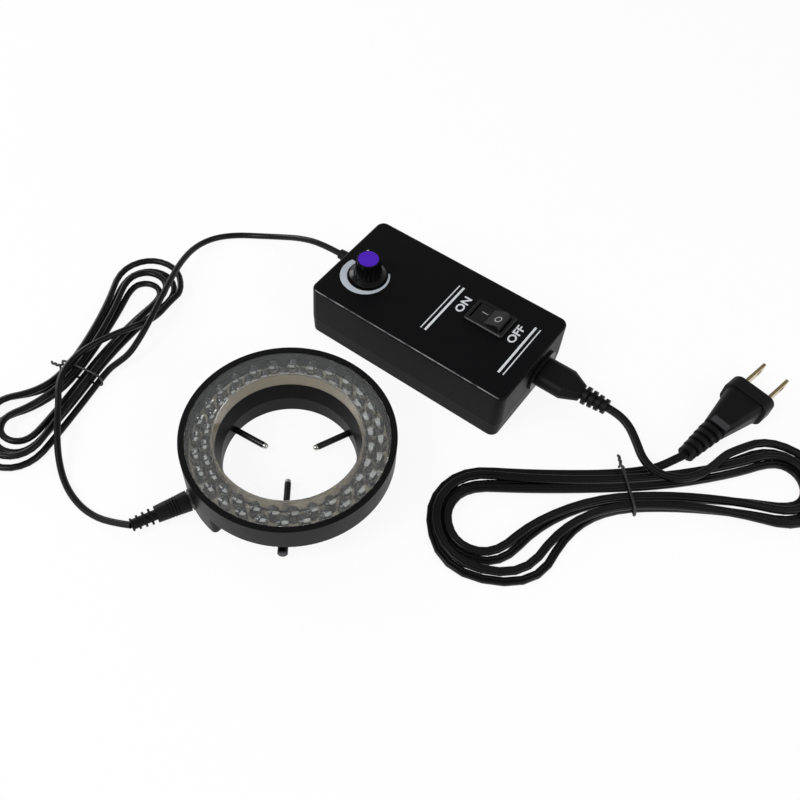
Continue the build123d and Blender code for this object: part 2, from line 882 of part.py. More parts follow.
def thumb_screw():
    """A thumb screw along +Z with its tip's end at 0, its rod drilled for the tip's pin."""
    rod_l = screw_length - screw_head_l
    rod = Pos(0, 0, tip_l) * Cylinder(screw_d / 2, rod_l - tip_l + overrun,
                                      align=(Align.CENTER, Align.CENTER, Align.MIN))
    head = Pos(0, 0, rod_l) * Cylinder(screw_head_d / 2, screw_head_l,
                                       align=(Align.CENTER, Align.CENTER, Align.MIN))
    rims = head.edges().filter_by(GeomType.CIRCLE)
    head = chamfer(rims, screw_head_chamfer)
    grooves = []
    for i in range(screw_groove_count):
        a = 360 * i / screw_groove_count
        g = Pos(0, 0, rod_l + 2 * screw_head_chamfer) * Rot(0, 0, a) * Pos(screw_head_d / 2, 0, 0) * Box(
            screw_groove, screw_groove, screw_head_l - 4 * screw_head_chamfer,
            align=(Align.CENTER, Align.CENTER, Align.MIN))
        grooves.append(g)
    pin_hole = Pos(0, 0, tip_l - overrun) * Cylinder(
        tip_pin_d / 2 + running_gap, tip_pin_l + overrun + slip_gap,
        align=(Align.CENTER, Align.CENTER, Align.MIN))
    return fused(rod, head) - grooves - pin_hole


def screw_tip():
    """The bright rounded tip along +Z, with the pin it turns on."""
    r = screw_d / 2 - running_gap
    profile = ThreePointArc((0.0, 0.0, 0.0), (r * sin(pi / 4), 0.0, r * (1 - cos(pi / 4))), (r, 0.0, r))
    profile = profile + Polyline(
        (r, 0.0, r),
        (r, 0.0, tip_l - slip_gap),
        (tip_pin_d / 2, 0.0, tip_l - slip_gap),
        (tip_pin_d / 2, 0.0, tip_l + tip_pin_l),
        (0.0, 0.0, tip_l + tip_pin_l),
        (0.0, 0.0, 0.0),
    )
    return revolve(make_face(profile), axis=Axis.Z)


def jack_body():
    """The jack's moulded body with a blind bore for the barrel."""
    body = Pos(0, 0, jack_body_r0) * Cylinder(jack_body_d / 2, jack_body_l,
                                              align=(Align.CENTER, Align.CENTER, Align.MIN))
    bore = Pos(0, 0, jack_body_r0 + jack_floor) * Cylinder(
        barrel_d / 2 + slip_gap, jack_body_l, align=(Align.CENTER, Align.CENTER, Align.MIN))
    pin_hole = Pos(0, 0, jack_body_r0 - overrun) * Cylinder(
        jack_pin_d / 2, jack_body_l, align=(Align.CENTER, Align.CENTER, Align.MIN))
    return along(jack_azimuth, jack_z, body - bore - pin_hole)


def jack_bush():
    """The bright threaded bush that passes through the wall."""
    start = ring_d / 2 - ring_wall - slip_gap
    length = ring_d / 2 + jack_bush_out - start
    tube = Pos(0, 0, start) * (
        Cylinder(jack_bush_d / 2, length, align=(Align.CENTER, Align.CENTER, Align.MIN))
        - Cylinder(barrel_d / 2 + slip_gap, length, align=(Align.CENTER, Align.CENTER, Align.MIN)))
    return along(jack_azimuth, jack_z, tube)


def jack_nut():
    """The bright nut outside the wall."""
    nut = extrude(RegularPolygon(jack_nut_d / 2, 6) - Circle(jack_bush_d / 2 + slip_gap), jack_nut_t)
    return along(jack_azimuth, jack_z, Pos(0, 0, jack_seat_r()) * nut)


def jack_pin():
    """The jack's centre pin."""
    pin = Pos(0, 0, jack_body_r0) * Cylinder(jack_pin_d / 2, jack_pin_l,
                                             align=(Align.CENTER, Align.CENTER, Align.MIN))
    lug = Pos(0, 0, jack_body_r0 - jack_lug[1]) * Box(
        jack_lug[2], jack_lug[0], jack_lug[1], align=(Align.CENTER, Align.CENTER, Align.MIN))
    return along(jack_azimuth, jack_z, fused(pin, lug))


def ring_wires():
    """The two wires from the jack up to the lamp board."""
    wires = []
    top = board_top() - board_t
    for side in (-1, 1):
        r = jack_body_r0 + jack_wire_d
        turn = degrees(side * (jack_body_d / 2 + jack_wire_d / 2 + slip_gap) / r)
        foot = polar(r, jack_azimuth + turn, jack_z)
        wires.append(post(jack_wire_d, top - jack_z, foot.X, foot.Y, jack_z))
    return group(wires)


# Low voltage plug


def dc_plug_face():
    """The radius of the plug's front face, just clear of the bush."""
    return ring_d / 2 + jack_bush_out + plug_face_gap


def dc_plug_body():
    """The moulded plug and its ribbed strain relief, turned about the jack's axis."""
    face = dc_plug_face()
    rear = face + plug_body_l
    points = [(barrel_d / 2, face), (plug_front_d / 2 - slip_gap, face), (plug_front_d / 2, face + slip_gap)]

    def radius_at(s):
        return plug_front_d / 2 + (plug_rear_d - plug_front_d) / 2 * s / plug_body_l

    for i in range(plug_groove_count):
        s = plug_groove_start + i * plug_groove_spacing
        points.append((radius_at(s), face + s))
        points.append((radius_at(s) - plug_groove, face + s + plug_groove / 2))
        points.append((radius_at(s), face + s + plug_groove))
    points.append((plug_rear_d / 2, rear))
    points.append((relief_core_d / 2, rear))
    pitch = relief_l / relief_rib_count
    for i in range(relief_rib_count):
        share = i / (relief_rib_count - 1)
        r = (relief_rib_front_d + (relief_rib_end_d - relief_rib_front_d) * share) / 2
        z = rear + (i + 1) * pitch - relief_rib_t
        points.append((relief_core_d / 2, z))
        points.append((r, z))
        points.append((r, z + relief_rib_t))
        if i < relief_rib_count - 1:
            points.append((relief_core_d / 2, z + relief_rib_t))
    points.append((0.0, rear + relief_l))
    points.append((0.0, face + barrel_seat))
    points.append((barrel_d / 2, face + barrel_seat))
    body = turned(points)
    return along(jack_azimuth, jack_z, body)


def dc_barrel():
    """The bright barrel of the plug."""
    face = dc_plug_face()
    tube = Pos(0, 0, face - barrel_l) * (
        Cylinder(barrel_d / 2, barrel_l + barrel_seat, align=(Align.CENTER, Align.CENTER, Align.MIN))
        - Cylinder(barrel_bore_d / 2, barrel_l, align=(Align.CENTER, Align.CENTER, Align.MIN)))
    return along(jack_azimuth, jack_z, tube)


def dc_relief_end():
    """The radius where the cord leaves the plug's strain relief."""
    return dc_plug_face() + plug_body_l + relief_l


# Controller case, in the case's own frame


def drafted_slab(z0, z1, grow, draft, corner_r):
    """A slab between two heights whose section at z0 is the case's outline grown by grow."""
    outline = RectangleRounded(case_l + 2 * grow, case_w + 2 * grow, corner_r)
    return extrude(Plane.XY.offset(z0) * outline, z1 - z0, taper=draft)


def upper_outer():
    """The outer form of the upper shell, with its rounded top edge."""
    body = drafted_slab(case_part_z, case_h, 0.0, case_top_draft, case_corner_r)
    rim = body.faces().sort_by(Axis.Z)[-1].edges()
    return fillet(rim, case_top_fillet)


def lower_outer():
    """The outer form of the lower shell, which narrows towards its base."""
    body = drafted_slab(0.0, case_part_z, 0.0, case_bottom_draft, case_corner_r)
    body = Pos(0, 0, case_part_z) * Rot(180, 0, 0) * body
    rim = body.faces().sort_by(Axis.Z)[0].edges()
    return fillet(rim, case_bottom_fillet)


def boss_places():
    """The four corners' screw bosses."""
    u = case_l / 2 - case_boss_inset
    v = case_w / 2 - case_boss_inset
    return [(-u, -v), (u, -v), (u, v), (-u, v)]


def pcb_post_places():
    """The posts that carry the circuit board."""
    u = pcb_l / 2 - pcb_post_inset_u
    v = pcb_w / 2 - pcb_post_inset_v
    return [(-u, -v), (u, -v), (u, v), (-u, v)]


def case_top():
    """The upper shell with its openings and screw bosses."""
    z0 = case_part_z + case_seam
    body = upper_outer() & block((2 * case_l, 2 * case_w, case_h), 0.0, 0.0, z0)
    inner_r = case_corner_r - case_wall
    room = drafted_slab(case_part_z - overrun, case_h - case_wall, -case_wall, case_top_draft, inner_r)
    body = body - room
    end = case_h - case_wall / 2
    for u, v in boss_places():
        body = body + post(case_boss_d, end - z0 - case_lip_h, u, v, z0 + case_lip_h)
    for u, v in boss_places():
        body = body - post(case_screw_d, case_screw_bite, u, v, z0 + case_lip_h - overrun)
    body = body - block((switch_body_l + 2 * slip_gap, switch_body_w + 2 * slip_gap, 4 * case_wall),
                        switch_u, row_v, case_h - 2 * case_wall)
    body = body - post(pot_bush_d + 2 * slip_gap, 4 * case_wall, knob_u, knob_v, case_h - 2 * case_wall)
    return body - inlet_cut(slip_gap) - gland_cut()


def inlet_cut(gap):
    """The cut for the mains inlet, through the end wall."""
    start = case_l / 2 - case_wall - 2 * inlet_flange_t
    return end_bar(inlet_w + 2 * gap, inlet_h + 2 * gap, inlet_l, start, inlet_z)


def gland_cut():
    """The hole for the low voltage gland, through the other end wall."""
    hole = Cylinder(gland_d / 2 + slip_gap, 4 * case_wall)
    return Pos(-case_l / 2, row_v, gland_z) * Rot(0, 90, 0) * hole


def case_bottom():
    """The lower shell with its locating lip, screw bosses and board posts."""
    body = lower_outer()
    inner_r = case_corner_r - case_wall
    room = drafted_slab(-overrun, case_part_z - case_wall, -case_wall, case_bottom_draft, inner_r)
    room = Pos(0, 0, case_part_z) * Rot(180, 0, 0) * room
    body = body - room
    lip_grow = -case_wall + case_lip_t - slip_gap
    lip_r = case_corner_r - case_wall + case_lip_t
    out_grow = lip_grow - case_lip_t
    in_grow = out_grow - case_lip_t
    lip_out = RectangleRounded(case_l + 2 * out_grow, case_w + 2 * out_grow, lip_r)
    lip_in = RectangleRounded(case_l + 2 * in_grow, case_w + 2 * in_grow, lip_r - case_lip_t)
    lip = extrude(Plane.XY.offset(case_part_z - case_wall) * (lip_out - lip_in), case_wall + case_lip_h)
    body = body + lip
    boss_top = case_part_z + case_seam + case_lip_h - slip_gap
    for u, v in boss_places():
        body = body + post(case_boss_d, boss_top, u, v)
    for u, v in boss_places():
        body = body - post(case_screw_d + 2 * slip_gap, boss_top + 2 * overrun, u, v, -overrun)
        body = body - post(case_screw_head_d + 2 * slip_gap, case_screw_sink + case_screw_head_h + overrun,
                           u, v, -overrun)
    for u, v in pcb_post_places():
        body = body + post(pcb_post_d, pcb_z - case_wall / 2, u, v, case_wall / 2)
    for u, v in pcb_post_places():
        body = body - post(pcb_screw_d, pcb_screw_bite, u, v, pcb_z - pcb_screw_bite)
    return body - inlet_cut(slip_gap)


def case_screws():
    """The four screws that close the case from below."""
    head_z = case_screw_sink
    length = case_part_z + case_seam + case_lip_h + case_screw_bite - 2 * overrun
    solids = []
    for u, v in boss_places():
        head = post(case_screw_head_d, case_screw_head_h, u, v, head_z - slip_gap)
        slot = block((case_screw_head_d, case_screw_slot, case_screw_slot), u, v, head_z - slip_gap)
        shank = post(case_screw_d - slip_gap, length - head_z, u, v, head_z)
        solids.append(fused(head, shank) - slot)
    return group(solids)


def knob_body():
    """The fluted knob over its round skirt, standing on z = 0 at the origin."""
    body = turned([
        (0.0, 0.0),
        (knob_skirt_d / 2, 0.0),
        (knob_skirt_d / 2, knob_skirt_h / 2),
        (knob_waist_d / 2, knob_skirt_h),
        (knob_top_d / 2, knob_h),
        (0.0, knob_h),
    ])
    flutes = []
    lean = degrees(atan2((knob_waist_d - knob_top_d) / 2, knob_h - knob_skirt_h))
    for i in range(knob_flute_count):
        bar = Rot(0, -lean, 0) * Cylinder(
            knob_flute_d / 2, knob_h, align=(Align.CENTER, Align.CENTER, Align.MIN))
        place = Rot(0, 0, 360 * i / knob_flute_count) * Pos(knob_waist_d / 2 + knob_flute_out, 0, knob_skirt_h)
        flutes.append(place * bar)
    body = body - flutes
    body = body - post(knob_cap_d + 2 * slip_gap, knob_cap_seat + overrun, 0.0, 0.0, knob_h - knob_cap_seat)
    body = body - post(pot_shaft_d, knob_bore_l + overrun, 0.0, 0.0, -overrun)
    room = post(pot_nut_d + 2 * knob_nut_gap, pot_nut_t + knob_nut_gap + overrun, 0.0, 0.0, -overrun)
    return body - room - pointer_block()


def pointer_block():
    """The block of the knob's white pointer, at its place on the knob's upper edge."""
    length, height, depth = knob_pointer
    r = knob_top_d / 2 - depth
    shape = Pos(r, 0, knob_h - height) * Box(
        4 * depth, length, height + overrun, align=(Align.MIN, Align.CENTER, Align.MIN))
    return Rot(0, 0, knob_pointer_angle) * shape


def knob_base_z():
    """The height of the knob's underside."""
    return case_h + knob_lift


def knob():
    """The knob in its place on the case."""
    return Pos(knob_u, knob_v, knob_base_z()) * knob_body()


def knob_cap():
    """The violet disc in the knob's top."""
    z = knob_base_z() + knob_h - knob_cap_seat
    cap = post(knob_cap_d, knob_cap_t, knob_u, knob_v, z)
    rim = cap.edges().filter_by(GeomType.CIRCLE).sort_by(Axis.Z)[-1]
    return fillet(rim, knob_cap_t - knob_cap_seat)


def knob_pointer_piece():
    """The white pointer, flush with the knob's fluted side."""
    hull = turned([
        (0.0, knob_skirt_h),
        (knob_waist_d / 2, knob_skirt_h),
        (knob_top_d / 2, knob_h),
        (0.0, knob_h),
    ])
    return Pos(knob_u, knob_v, knob_base_z()) * (hull & pointer_block())


def pot_body():
    """The potentiometer's can, its bush through the case and its three lugs."""
    under = case_h - case_wall
    can = post(pot_d, pot_h, knob_u, knob_v, under - pot_h)
    bush = post(pot_bush_d, pot_bush_l, knob_u, knob_v, under)
    body = fused(can, bush)
    for i in (-1, 0, 1):
        lug = block((pot_lug[0], pot_lug[1] + pot_d / 4, pot_lug[2]),
                    knob_u + i * pot_lug_spacing, knob_v - pot_d / 2 - pot_lug[1] / 2 + pot_d / 8,
                    under - pot_h + pot_lug[2])
        body = body + lug
    bore = post(pot_shaft_thin_d + 2 * running_gap, pot_bush_l + pot_shaft_seat, knob_u, knob_v,
                under - pot_shaft_seat)
    return body - bore


def pot_shaft():
    """The shaft that turns in the potentiometer's bush and carries the knob."""
    under = case_h - case_wall
    collar_z = under + pot_bush_l + slip_gap
    thin = post(pot_shaft_thin_d, collar_z - under + pot_shaft_seat - slip_gap, knob_u, knob_v,
                under - pot_shaft_seat + slip_gap)
    top = knob_base_z() + knob_bore_l - slip_gap
    thick = post(pot_shaft_d - 2 * running_gap, top - collar_z, knob_u, knob_v, collar_z)
    return fused(thin, thick)


def pot_nut():
    """The nut that holds the potentiometer to the case."""
    nut = extrude(RegularPolygon(pot_nut_d / 2, 6) - Circle(pot_bush_d / 2 + slip_gap), pot_nut_t)
    return Pos(knob_u, knob_v, case_h) * nut


def switch_housing():
    """The switch's frame: a bezel on the case and a hollow body under it."""
    bezel = extrude(RectangleRounded(bezel_l, bezel_w, bezel_r), bezel_t)
    bezel = chamfer(bezel.faces().sort_by(Axis.Z)[-1].outer_wire().edges(), bezel_chamfer)
    body = Pos(0, 0, -switch_body_h) * extrude(Rectangle(switch_body_l, switch_body_w), switch_body_h)
    room_l = switch_body_l - 2 * switch_wall
    room_w = switch_body_w - 2 * switch_wall
    room = block((room_l, room_w, switch_body_h + bezel_t + overrun), 0.0, 0.0, -switch_body_h + switch_wall)
    body = fused(bezel, body) - room
    z = rocker_axis_z() - case_h
    for side in (-1, 1):
        bar = Pos(0, side * (room_w / 2 + (switch_wall - rocker_pin_out) / 2), z) * Rot(90, 0, 0) * Cylinder(
            rocker_pin_d / 2, switch_wall + rocker_pin_out)
        body = body + bar
    return Pos(switch_u, row_v, case_h) * body - terminal_blades()


def rocker_axis_z():
    """The height of the rocker's hinge pin."""
    return case_h + bezel_t - rocker_t


def rocker():
    """The rocker with its two pads, tipped so that the ON side is down."""
    reach = switch_body_l / 2 - switch_wall - 2 * slip_gap
    profile = Polyline(
        (-reach, 0.0, -rocker_under),
        (reach, 0.0, -rocker_under),
        (reach, 0.0, rocker_t + rocker_rise),
        (0.0, 0.0, rocker_t),
        (-reach, 0.0, rocker_t + rocker_rise),
        close=True,
    )
    slab = extrude(make_face(profile), rocker_w / 2, both=True)
    swing = Rot(90, 0, 0) * Cylinder(reach, rocker_w)
    hub = Rot(90, 0, 0) * Cylinder(rocker_hub_d / 2, rocker_w)
    body = (slab & swing) + hub
    for side in (-1, 1):
        hole = Pos(0, side * rocker_w / 2, 0) * Rot(90, 0, 0) * Cylinder(
            rocker_pin_d / 2 + running_gap, 2 * rocker_pin_out)
        body = body - hole
    return Pos(switch_u, row_v, rocker_axis_z()) * Rot(0, -rocker_tilt, 0) * body


def terminal_blades():
    """The switch's three blades, each half a wall deep in the frame's floor."""
    z = case_h - switch_body_h
    return [block((terminal[1], terminal[0], terminal[2]), switch_u + i * terminal_spacing, row_v,
                  z - terminal[2] + switch_wall / 2) for i in (-1, 0, 1)]


# Mains inlet and connector, along the case's length


def end_bar(width, height, length, u, z):
    """A bar with round ends along the case's length, starting at u."""
    return Pos(u, row_v, z) * Rot(0, 90, 0) * Rot(0, 0, 90) * extrude(
        rounded_section(width, height), length)


def end_face_u():
    """The place of the end wall's outer face at the inlet's height."""
    rise = inlet_z - case_part_z
    return case_l / 2 - rise * tan(radians(case_top_draft))


def mains_inlet():
    """The inlet socket: a flanged box with a round ended cavity."""
    face = end_face_u() + slip_gap
    flange = end_bar(inlet_w + 2 * inlet_flange, inlet_h + 2 * inlet_flange, inlet_flange_t, face, inlet_z)
    box = end_bar(inlet_w, inlet_h, inlet_l, face - inlet_l, inlet_z)
    cavity = end_bar(socket_w, socket_h, socket_depth + overrun, face + inlet_flange_t - socket_depth, inlet_z)
    body = fused(flange, box) - cavity
    for side in (-1, 1):
        hole = Pos(face - inlet_l / 2, row_v + side * contact_spacing / 2, inlet_z) * Rot(0, 90, 0) * Cylinder(
            contact_pin_d / 2, 2 * inlet_l)
        body = body - hole
    return body


def inlet_pins():
    """The inlet's two pins, which run on as solder tails."""
    root = end_face_u() + slip_gap + inlet_flange_t - socket_depth
    start = end_face_u() - inlet_l - contact_pin_tail
    pins = []
    for side in (-1, 1):
        pin = Pos(start, row_v + side * contact_spacing / 2, inlet_z) * Rot(0, 90, 0) * Cylinder(
            contact_pin_d / 2, root + contact_pin_l - start, align=(Align.CENTER, Align.CENTER, Align.MIN))
        pins.append(pin)
    return group(pins)


def connector_face_u():
    """Where the connector's body starts, just clear of the inlet's flange."""
    return end_face_u() + slip_gap + inlet_flange_t + connector_gap


def mains_connector():
    """The connector: nose, grip, tapering neck and ribbed strain relief."""
    face = connector_face_u()
    nose_w = socket_w - 2 * plug_gap
    nose_h = socket_h - 2 * plug_gap
    start = face - nose_l
    nose = end_bar(nose_w, nose_h, nose_l + overrun, start, inlet_z)
    grip = end_bar(connector_w, connector_h, connector_l, face, inlet_z)
    neck_u = face + connector_l
    place = Rot(0, 90, 0) * Rot(0, 0, 90)
    wide = Pos(neck_u, row_v, inlet_z) * place * rounded_section(connector_w, connector_h)
    slim = Pos(neck_u + connector_neck_l, row_v, inlet_z) * place * rounded_section(
        connector_relief_w0, connector_core_d + 2 * slip_gap)
    neck = loft([wide, slim])
    relief_u = neck_u + connector_neck_l
    core = Pos(relief_u, row_v, inlet_z) * Rot(0, 90, 0) * Cylinder(
        connector_core_d / 2, connector_relief_l, align=(Align.CENTER, Align.CENTER, Align.MIN))
    body = fused(nose, grip, neck, core)
    pitch = connector_relief_l / connector_rib_count
    for i in range(connector_rib_count):
        share = i / (connector_rib_count - 1)
        d = connector_relief_w0 + (connector_relief_w1 - connector_relief_w0) * share
        rib = Pos(relief_u + (i + 1) * pitch - connector_rib_t, row_v, inlet_z) * Rot(0, 90, 0) * Cylinder(
            d / 2, connector_rib_t, align=(Align.CENTER, Align.CENTER, Align.MIN))
        body = body + rib
    for side in (-1, 1):
        hole = Pos(start - overrun, row_v + side * contact_spacing / 2, inlet_z) * Rot(0, 90, 0) * Cylinder(
            contact_sleeve_d() / 2, nose_l + overrun, align=(Align.CENTER, Align.CENTER, Align.MIN))
        body = body - hole
    return body


def contact_sleeve_d():
    """The outer diameter of a contact sleeve round an inlet pin."""
    return contact_pin_d + 2 * running_gap + 4 * slip_gap


def connector_contacts():
    """The connector's two contact sleeves."""
    start = connector_face_u() - nose_l + slip_gap
    length = nose_l - slip_gap
    sleeves = []
    for side in (-1, 1):
        tube = extrude(Circle(contact_sleeve_d() / 2) - Circle(contact_pin_d / 2 + running_gap), length)
        sleeves.append(Pos(start, row_v + side * contact_spacing / 2, inlet_z) * Rot(0, 90, 0) * tube)
    return group(sleeves)


def connector_end_u():
    """Where the cord leaves the connector's strain relief."""
    return connector_face_u() + connector_l + connector_neck_l + connector_relief_l


# Electronics, in the case's own frame


def circuit_board():
    """The controller's circuit board on its four posts."""
    board = block((pcb_l, pcb_w, pcb_t), 0.0, 0.0, pcb_z)
    for u, v in pcb_post_places():
        board = board - post(pcb_screw_d + 2 * slip_gap, pcb_t + 2 * overrun, u, v, pcb_z - overrun)
    for u, v in boss_places():
        board = board - post(case_boss_d + 4 * slip_gap, pcb_t + 2 * overrun, u, v, pcb_z - overrun)
    return board


def pcb_screws():
    """The screws that hold the circuit board."""
    solids = []
    for u, v in pcb_post_places():
        bite = pcb_screw_bite - slip_gap
        shank = post(pcb_screw_d - slip_gap, pcb_t + bite, u, v, pcb_z - bite)
        head = post(pcb_screw_head_d, pcb_screw_head_h, u, v, pcb_z + pcb_t)
        solids.append(fused(shank, head))
    return group(solids)


def pcb_top():
    """The height of the circuit board's upper face."""
    return pcb_z + pcb_t


def transformer_core():
    """The transformer's core: two legs and two yokes round the winding."""
    z = pcb_top()
    outer = block(core_size, core_u, core_v, z)
    window = block((core_size[0] + 2 * overrun, winding_size[1] + 2 * slip_gap, winding_size[2] + 2 * slip_gap),
                   core_u, core_v, z + (core_size[2] - winding_size[2]) / 2 - slip_gap)
    centre = block((core_size[0], core_leg_w, core_size[2]), core_u, core_v, z)
    return fused(outer - window, centre)


def transformer_winding():
    """The winding on its bobbin, round the core's centre leg."""
    z = pcb_top() + (core_size[2] - winding_size[2]) / 2
    body = block(winding_size, core_u, core_v, z)
    leg = block((core_size[0] + 2 * slip_gap, core_leg_w + 2 * slip_gap, core_size[2]),
                core_u, core_v, pcb_top())
    return body - leg


def capacitors():
    """Three round capacitors standing on the circuit board."""
    solids = []
    for d, h, u, v in zip(can_diameters, can_heights, can_us, can_vs):
        points = [
            (0.0, 0.0),
            (d / 2 - can_edge, 0.0),
            (d / 2, can_edge),
            (d / 2, h - can_edge),
            (d / 2 - can_edge, h),
            (0.0, h),
        ]
        outline = Polyline(*[(u + r, v, pcb_top() + z) for r, z in points], close=True)
        solids.append(revolve(make_face(outline), axis=Axis((u, v, 0.0), (0.0, 0.0, 1.0))))
    return group(solids)


def heat_sink():
    """The finned heat sink that stands on the circuit board."""
    plate = block(sink_size, sink_u, sink_v, pcb_top())
    fins = []
    for i in range(sink_fin_count):
        x = sink_u + (i - (sink_fin_count - 1) / 2) * sink_fin_gap
        fins.append(block((sink_fin_t, sink_fin_depth, sink_size[2]), x,
                          sink_v - sink_size[1] / 2 - sink_fin_depth / 2 + slip_gap, pcb_top()))
    body = plate
    for fin in fins:
        body = body + fin
    return body


def regulator():
    """The current regulator that is clamped to the heat sink."""
    v = sink_v + sink_size[1] / 2 + regulator_size[1] / 2
    return block(regulator_size, sink_u, v, pcb_top())


def fuse():
    """The glass fuse between its two clips."""
    z = pcb_top() + fuse_lift + fuse_d / 2
    glass = Pos(fuse_u, fuse_v, z) * Rot(0, 90, 0) * Cylinder(fuse_d / 2, fuse_l)
    return glass


def fuse_clips():
    """The two clips that carry the fuse on the circuit board."""
    z = pcb_top()
    clips = []
    for side in (-1, 1):
        u = fuse_u + side * (fuse_l - fuse_cap_l) / 2
        body = block((fuse_cap_l, fuse_d + 2 * fuse_clip_t, fuse_lift + fuse_clip_h), u, fuse_v, z)
        seat = Pos(u, fuse_v, z + fuse_lift + fuse_d / 2) * Rot(0, 90, 0) * Cylinder(
            fuse_d / 2 + running_gap, 2 * fuse_cap_l)
        clips.append(body - seat)
    return group(clips)


def inner_wires():
    """Wires from the inlet's pins down to the circuit board."""
    solids = []
    u = end_face_u() - inlet_l - contact_pin_tail - inner_wire_d / 2
    for side in (-1, 1):
        v = row_v + side * contact_spacing / 2
        solids.append(post(inner_wire_d, inlet_z + contact_pin_d / 2 - pcb_top(), u, v, pcb_top()))
    for i in (-1, 0, 1):
        z = case_h - switch_body_h - terminal[2] + switch_wall / 2
        solids.append(post(inner_wire_d, z - pcb_top(), switch_u + i * terminal_spacing, row_v, pcb_top()))
    return group(solids)


def dc_gland():
    """The grommet that the low voltage lead comes out of."""
    face = -case_l / 2 + (gland_z - case_part_z) * tan(radians(case_top_draft))
    inside = case_wall + 2 * gland_flange_t
    outer = Pos(face + inside, row_v, gland_z) * Rot(0, -90, 0)
    shank = Cylinder(gland_d / 2, inside, align=(Align.CENTER, Align.CENTER, Align.MIN))
    nose = Pos(0, 0, inside) * Cone(gland_d / 2, gland_end_d / 2, gland_out,
                                    align=(Align.CENTER, Align.CENTER, Align.MIN))
    flange = Cylinder(gland_flange_d / 2, gland_flange_t, align=(Align.CENTER, Align.CENTER, Align.MIN))
    return outer * fused(shank, nose, flange)


def gland_end():
    """The place in the world where the low voltage cord leaves the gland."""
    face = -case_l / 2 + (gland_z - case_part_z) * tan(radians(case_top_draft))
    return case_point(face - gland_out, row_v, gland_z)


def hank_tie(hank, reach_low, reach_high, height, cord_d, tail_side):
    """A flat tie round a hank's waist with a twisted tail, from the floor up."""
    width = reach_low + reach_high + 2 * tie_gap
    inner_h = height + tie_gap - tie_t
    corner = cord_d / 2
    outer = RectangleRounded(width + 2 * tie_t, inner_h + 2 * tie_t, corner + tie_t)
    inner = RectangleRounded(width, inner_h, corner)
    band = extrude(Plane.YZ * (outer - inner), tie_w / 2, both=True)
    tail = Pos(0, tail_side * (width + tie_t) / 2, 0) * Rot(-tail_side * tie_tail_lean, 0, 0) * Cylinder(
        tie_tail_d / 2, tie_tail_l, align=(Align.CENTER, Align.CENTER, Align.MIN))
    place = hank.world(0.0, (reach_high - reach_low) / 2, tie_t + inner_h / 2)
    return Location((place.X, place.Y, place.Z), (0.0, 0.0, hank.azimuth)) * fused(band, tail)


# Mains plug, along its own +X from the strain relief's end


def plug_place(shape):
    """Places a shape from the plug's own frame."""
    return Location((plug_x, plug_y, plug_z), (0.0, 0.0, plug_azimuth)) * shape


def plug_section(width, height, s):
    """A rounded section of the plug at a distance from the strain relief's end."""
    r = height * plug_corner_share
    return Pos(s, 0, 0) * Rot(0, 90, 0) * Rot(0, 0, 90) * RectangleRounded(width, height, r).face()


def mains_plug():
    """The plug: slotted strain relief, swelling grip and a flange with two blades."""
    core = Rot(0, 90, 0) * Rot(0, 0, 90) * extrude(rounded_section(neck_core_w, neck_core_h), grip_start)
    body = core
    pitch = grip_start / neck_rib_count
    for i in range(neck_rib_count):
        share = i / (neck_rib_count - 1)
        w = neck_w + (grip_w0 - neck_w) * share
        h = neck_h + (grip_h0 - neck_h) * share
        rib = Pos(i * pitch, 0, 0) * Rot(0, 90, 0) * Rot(0, 0, 90) * extrude(rounded_section(w, h), neck_rib_t)
        body = body + rib
    grip = loft([
        plug_section(grip_w0, grip_h0, grip_start),
        plug_section(grip_w1, grip_h1, grip_start + grip_l),
    ])
    body = body + grip
    flange_s = grip_start + grip_l
    flange = extrude(plug_section(flange_w, flange_h, flange_s), flange_l, dir=(1, 0, 0))
    flange = fillet(flange.edges().group_by(Axis.X)[-1], plug_edge_fillet)
    body = body + flange
    for side in (-1, 1):
        slot = Pos(flange_s + flange_l - blade_root, side * blade_spacing / 2, 0) * Box(
            blade_root + overrun, blade_t, blade_w, align=(Align.MIN, Align.CENTER, Align.CENTER))
        body = body - slot
    return plug_place(body)


def plug_blades():
    """The plug's two flat blades, each with its hole."""
    root = grip_start + grip_l + flange_l - blade_root
    blades = []
    for side in (-1, 1):
        blade = Pos(root, side * blade_spacing / 2, 0) * Box(
            blade_root + blade_l, blade_t, blade_w, align=(Align.MIN, Align.CENTER, Align.CENTER))
        hole = Pos(root + blade_root + blade_l - blade_hole_from_end, side * blade_spacing / 2, 0) * Rot(
            90, 0, 0) * Cylinder(blade_hole_d / 2, 4 * blade_t)
        blades.append(plug_place(blade - hole))
    return group(blades)


nodes = {}

# Ring light
nodes["ring_housing"] = housing_complete()
nodes["ring_cover"] = ring_cover()
nodes["led_board"] = led_board()
nodes["leds"] = lamps()
nodes["led_resistors"] = board_resistors()
nodes["led_board_screws"] = board_screws()
nodes["jack_body"] = jack_body()
nodes["jack_bush"] = jack_bush()
nodes["jack_nut"] = jack_nut()
nodes["jack_pin"] = jack_pin()
nodes["ring_wires"] = ring_wires()

# Thumb screws and their tips
one_screw = thumb_screw()
one_tip = screw_tip()
for i, (azimuth, r) in enumerate(zip(screw_azimuths, screw_tip_rs)):
    nodes[f"thumb_screw_{i + 1}"] = along(azimuth, screw_z, Pos(0, 0, r) * one_screw)
    nodes[f"screw_tip_{i + 1}"] = along(azimuth, screw_z, Pos(0, 0, r) * one_tip)

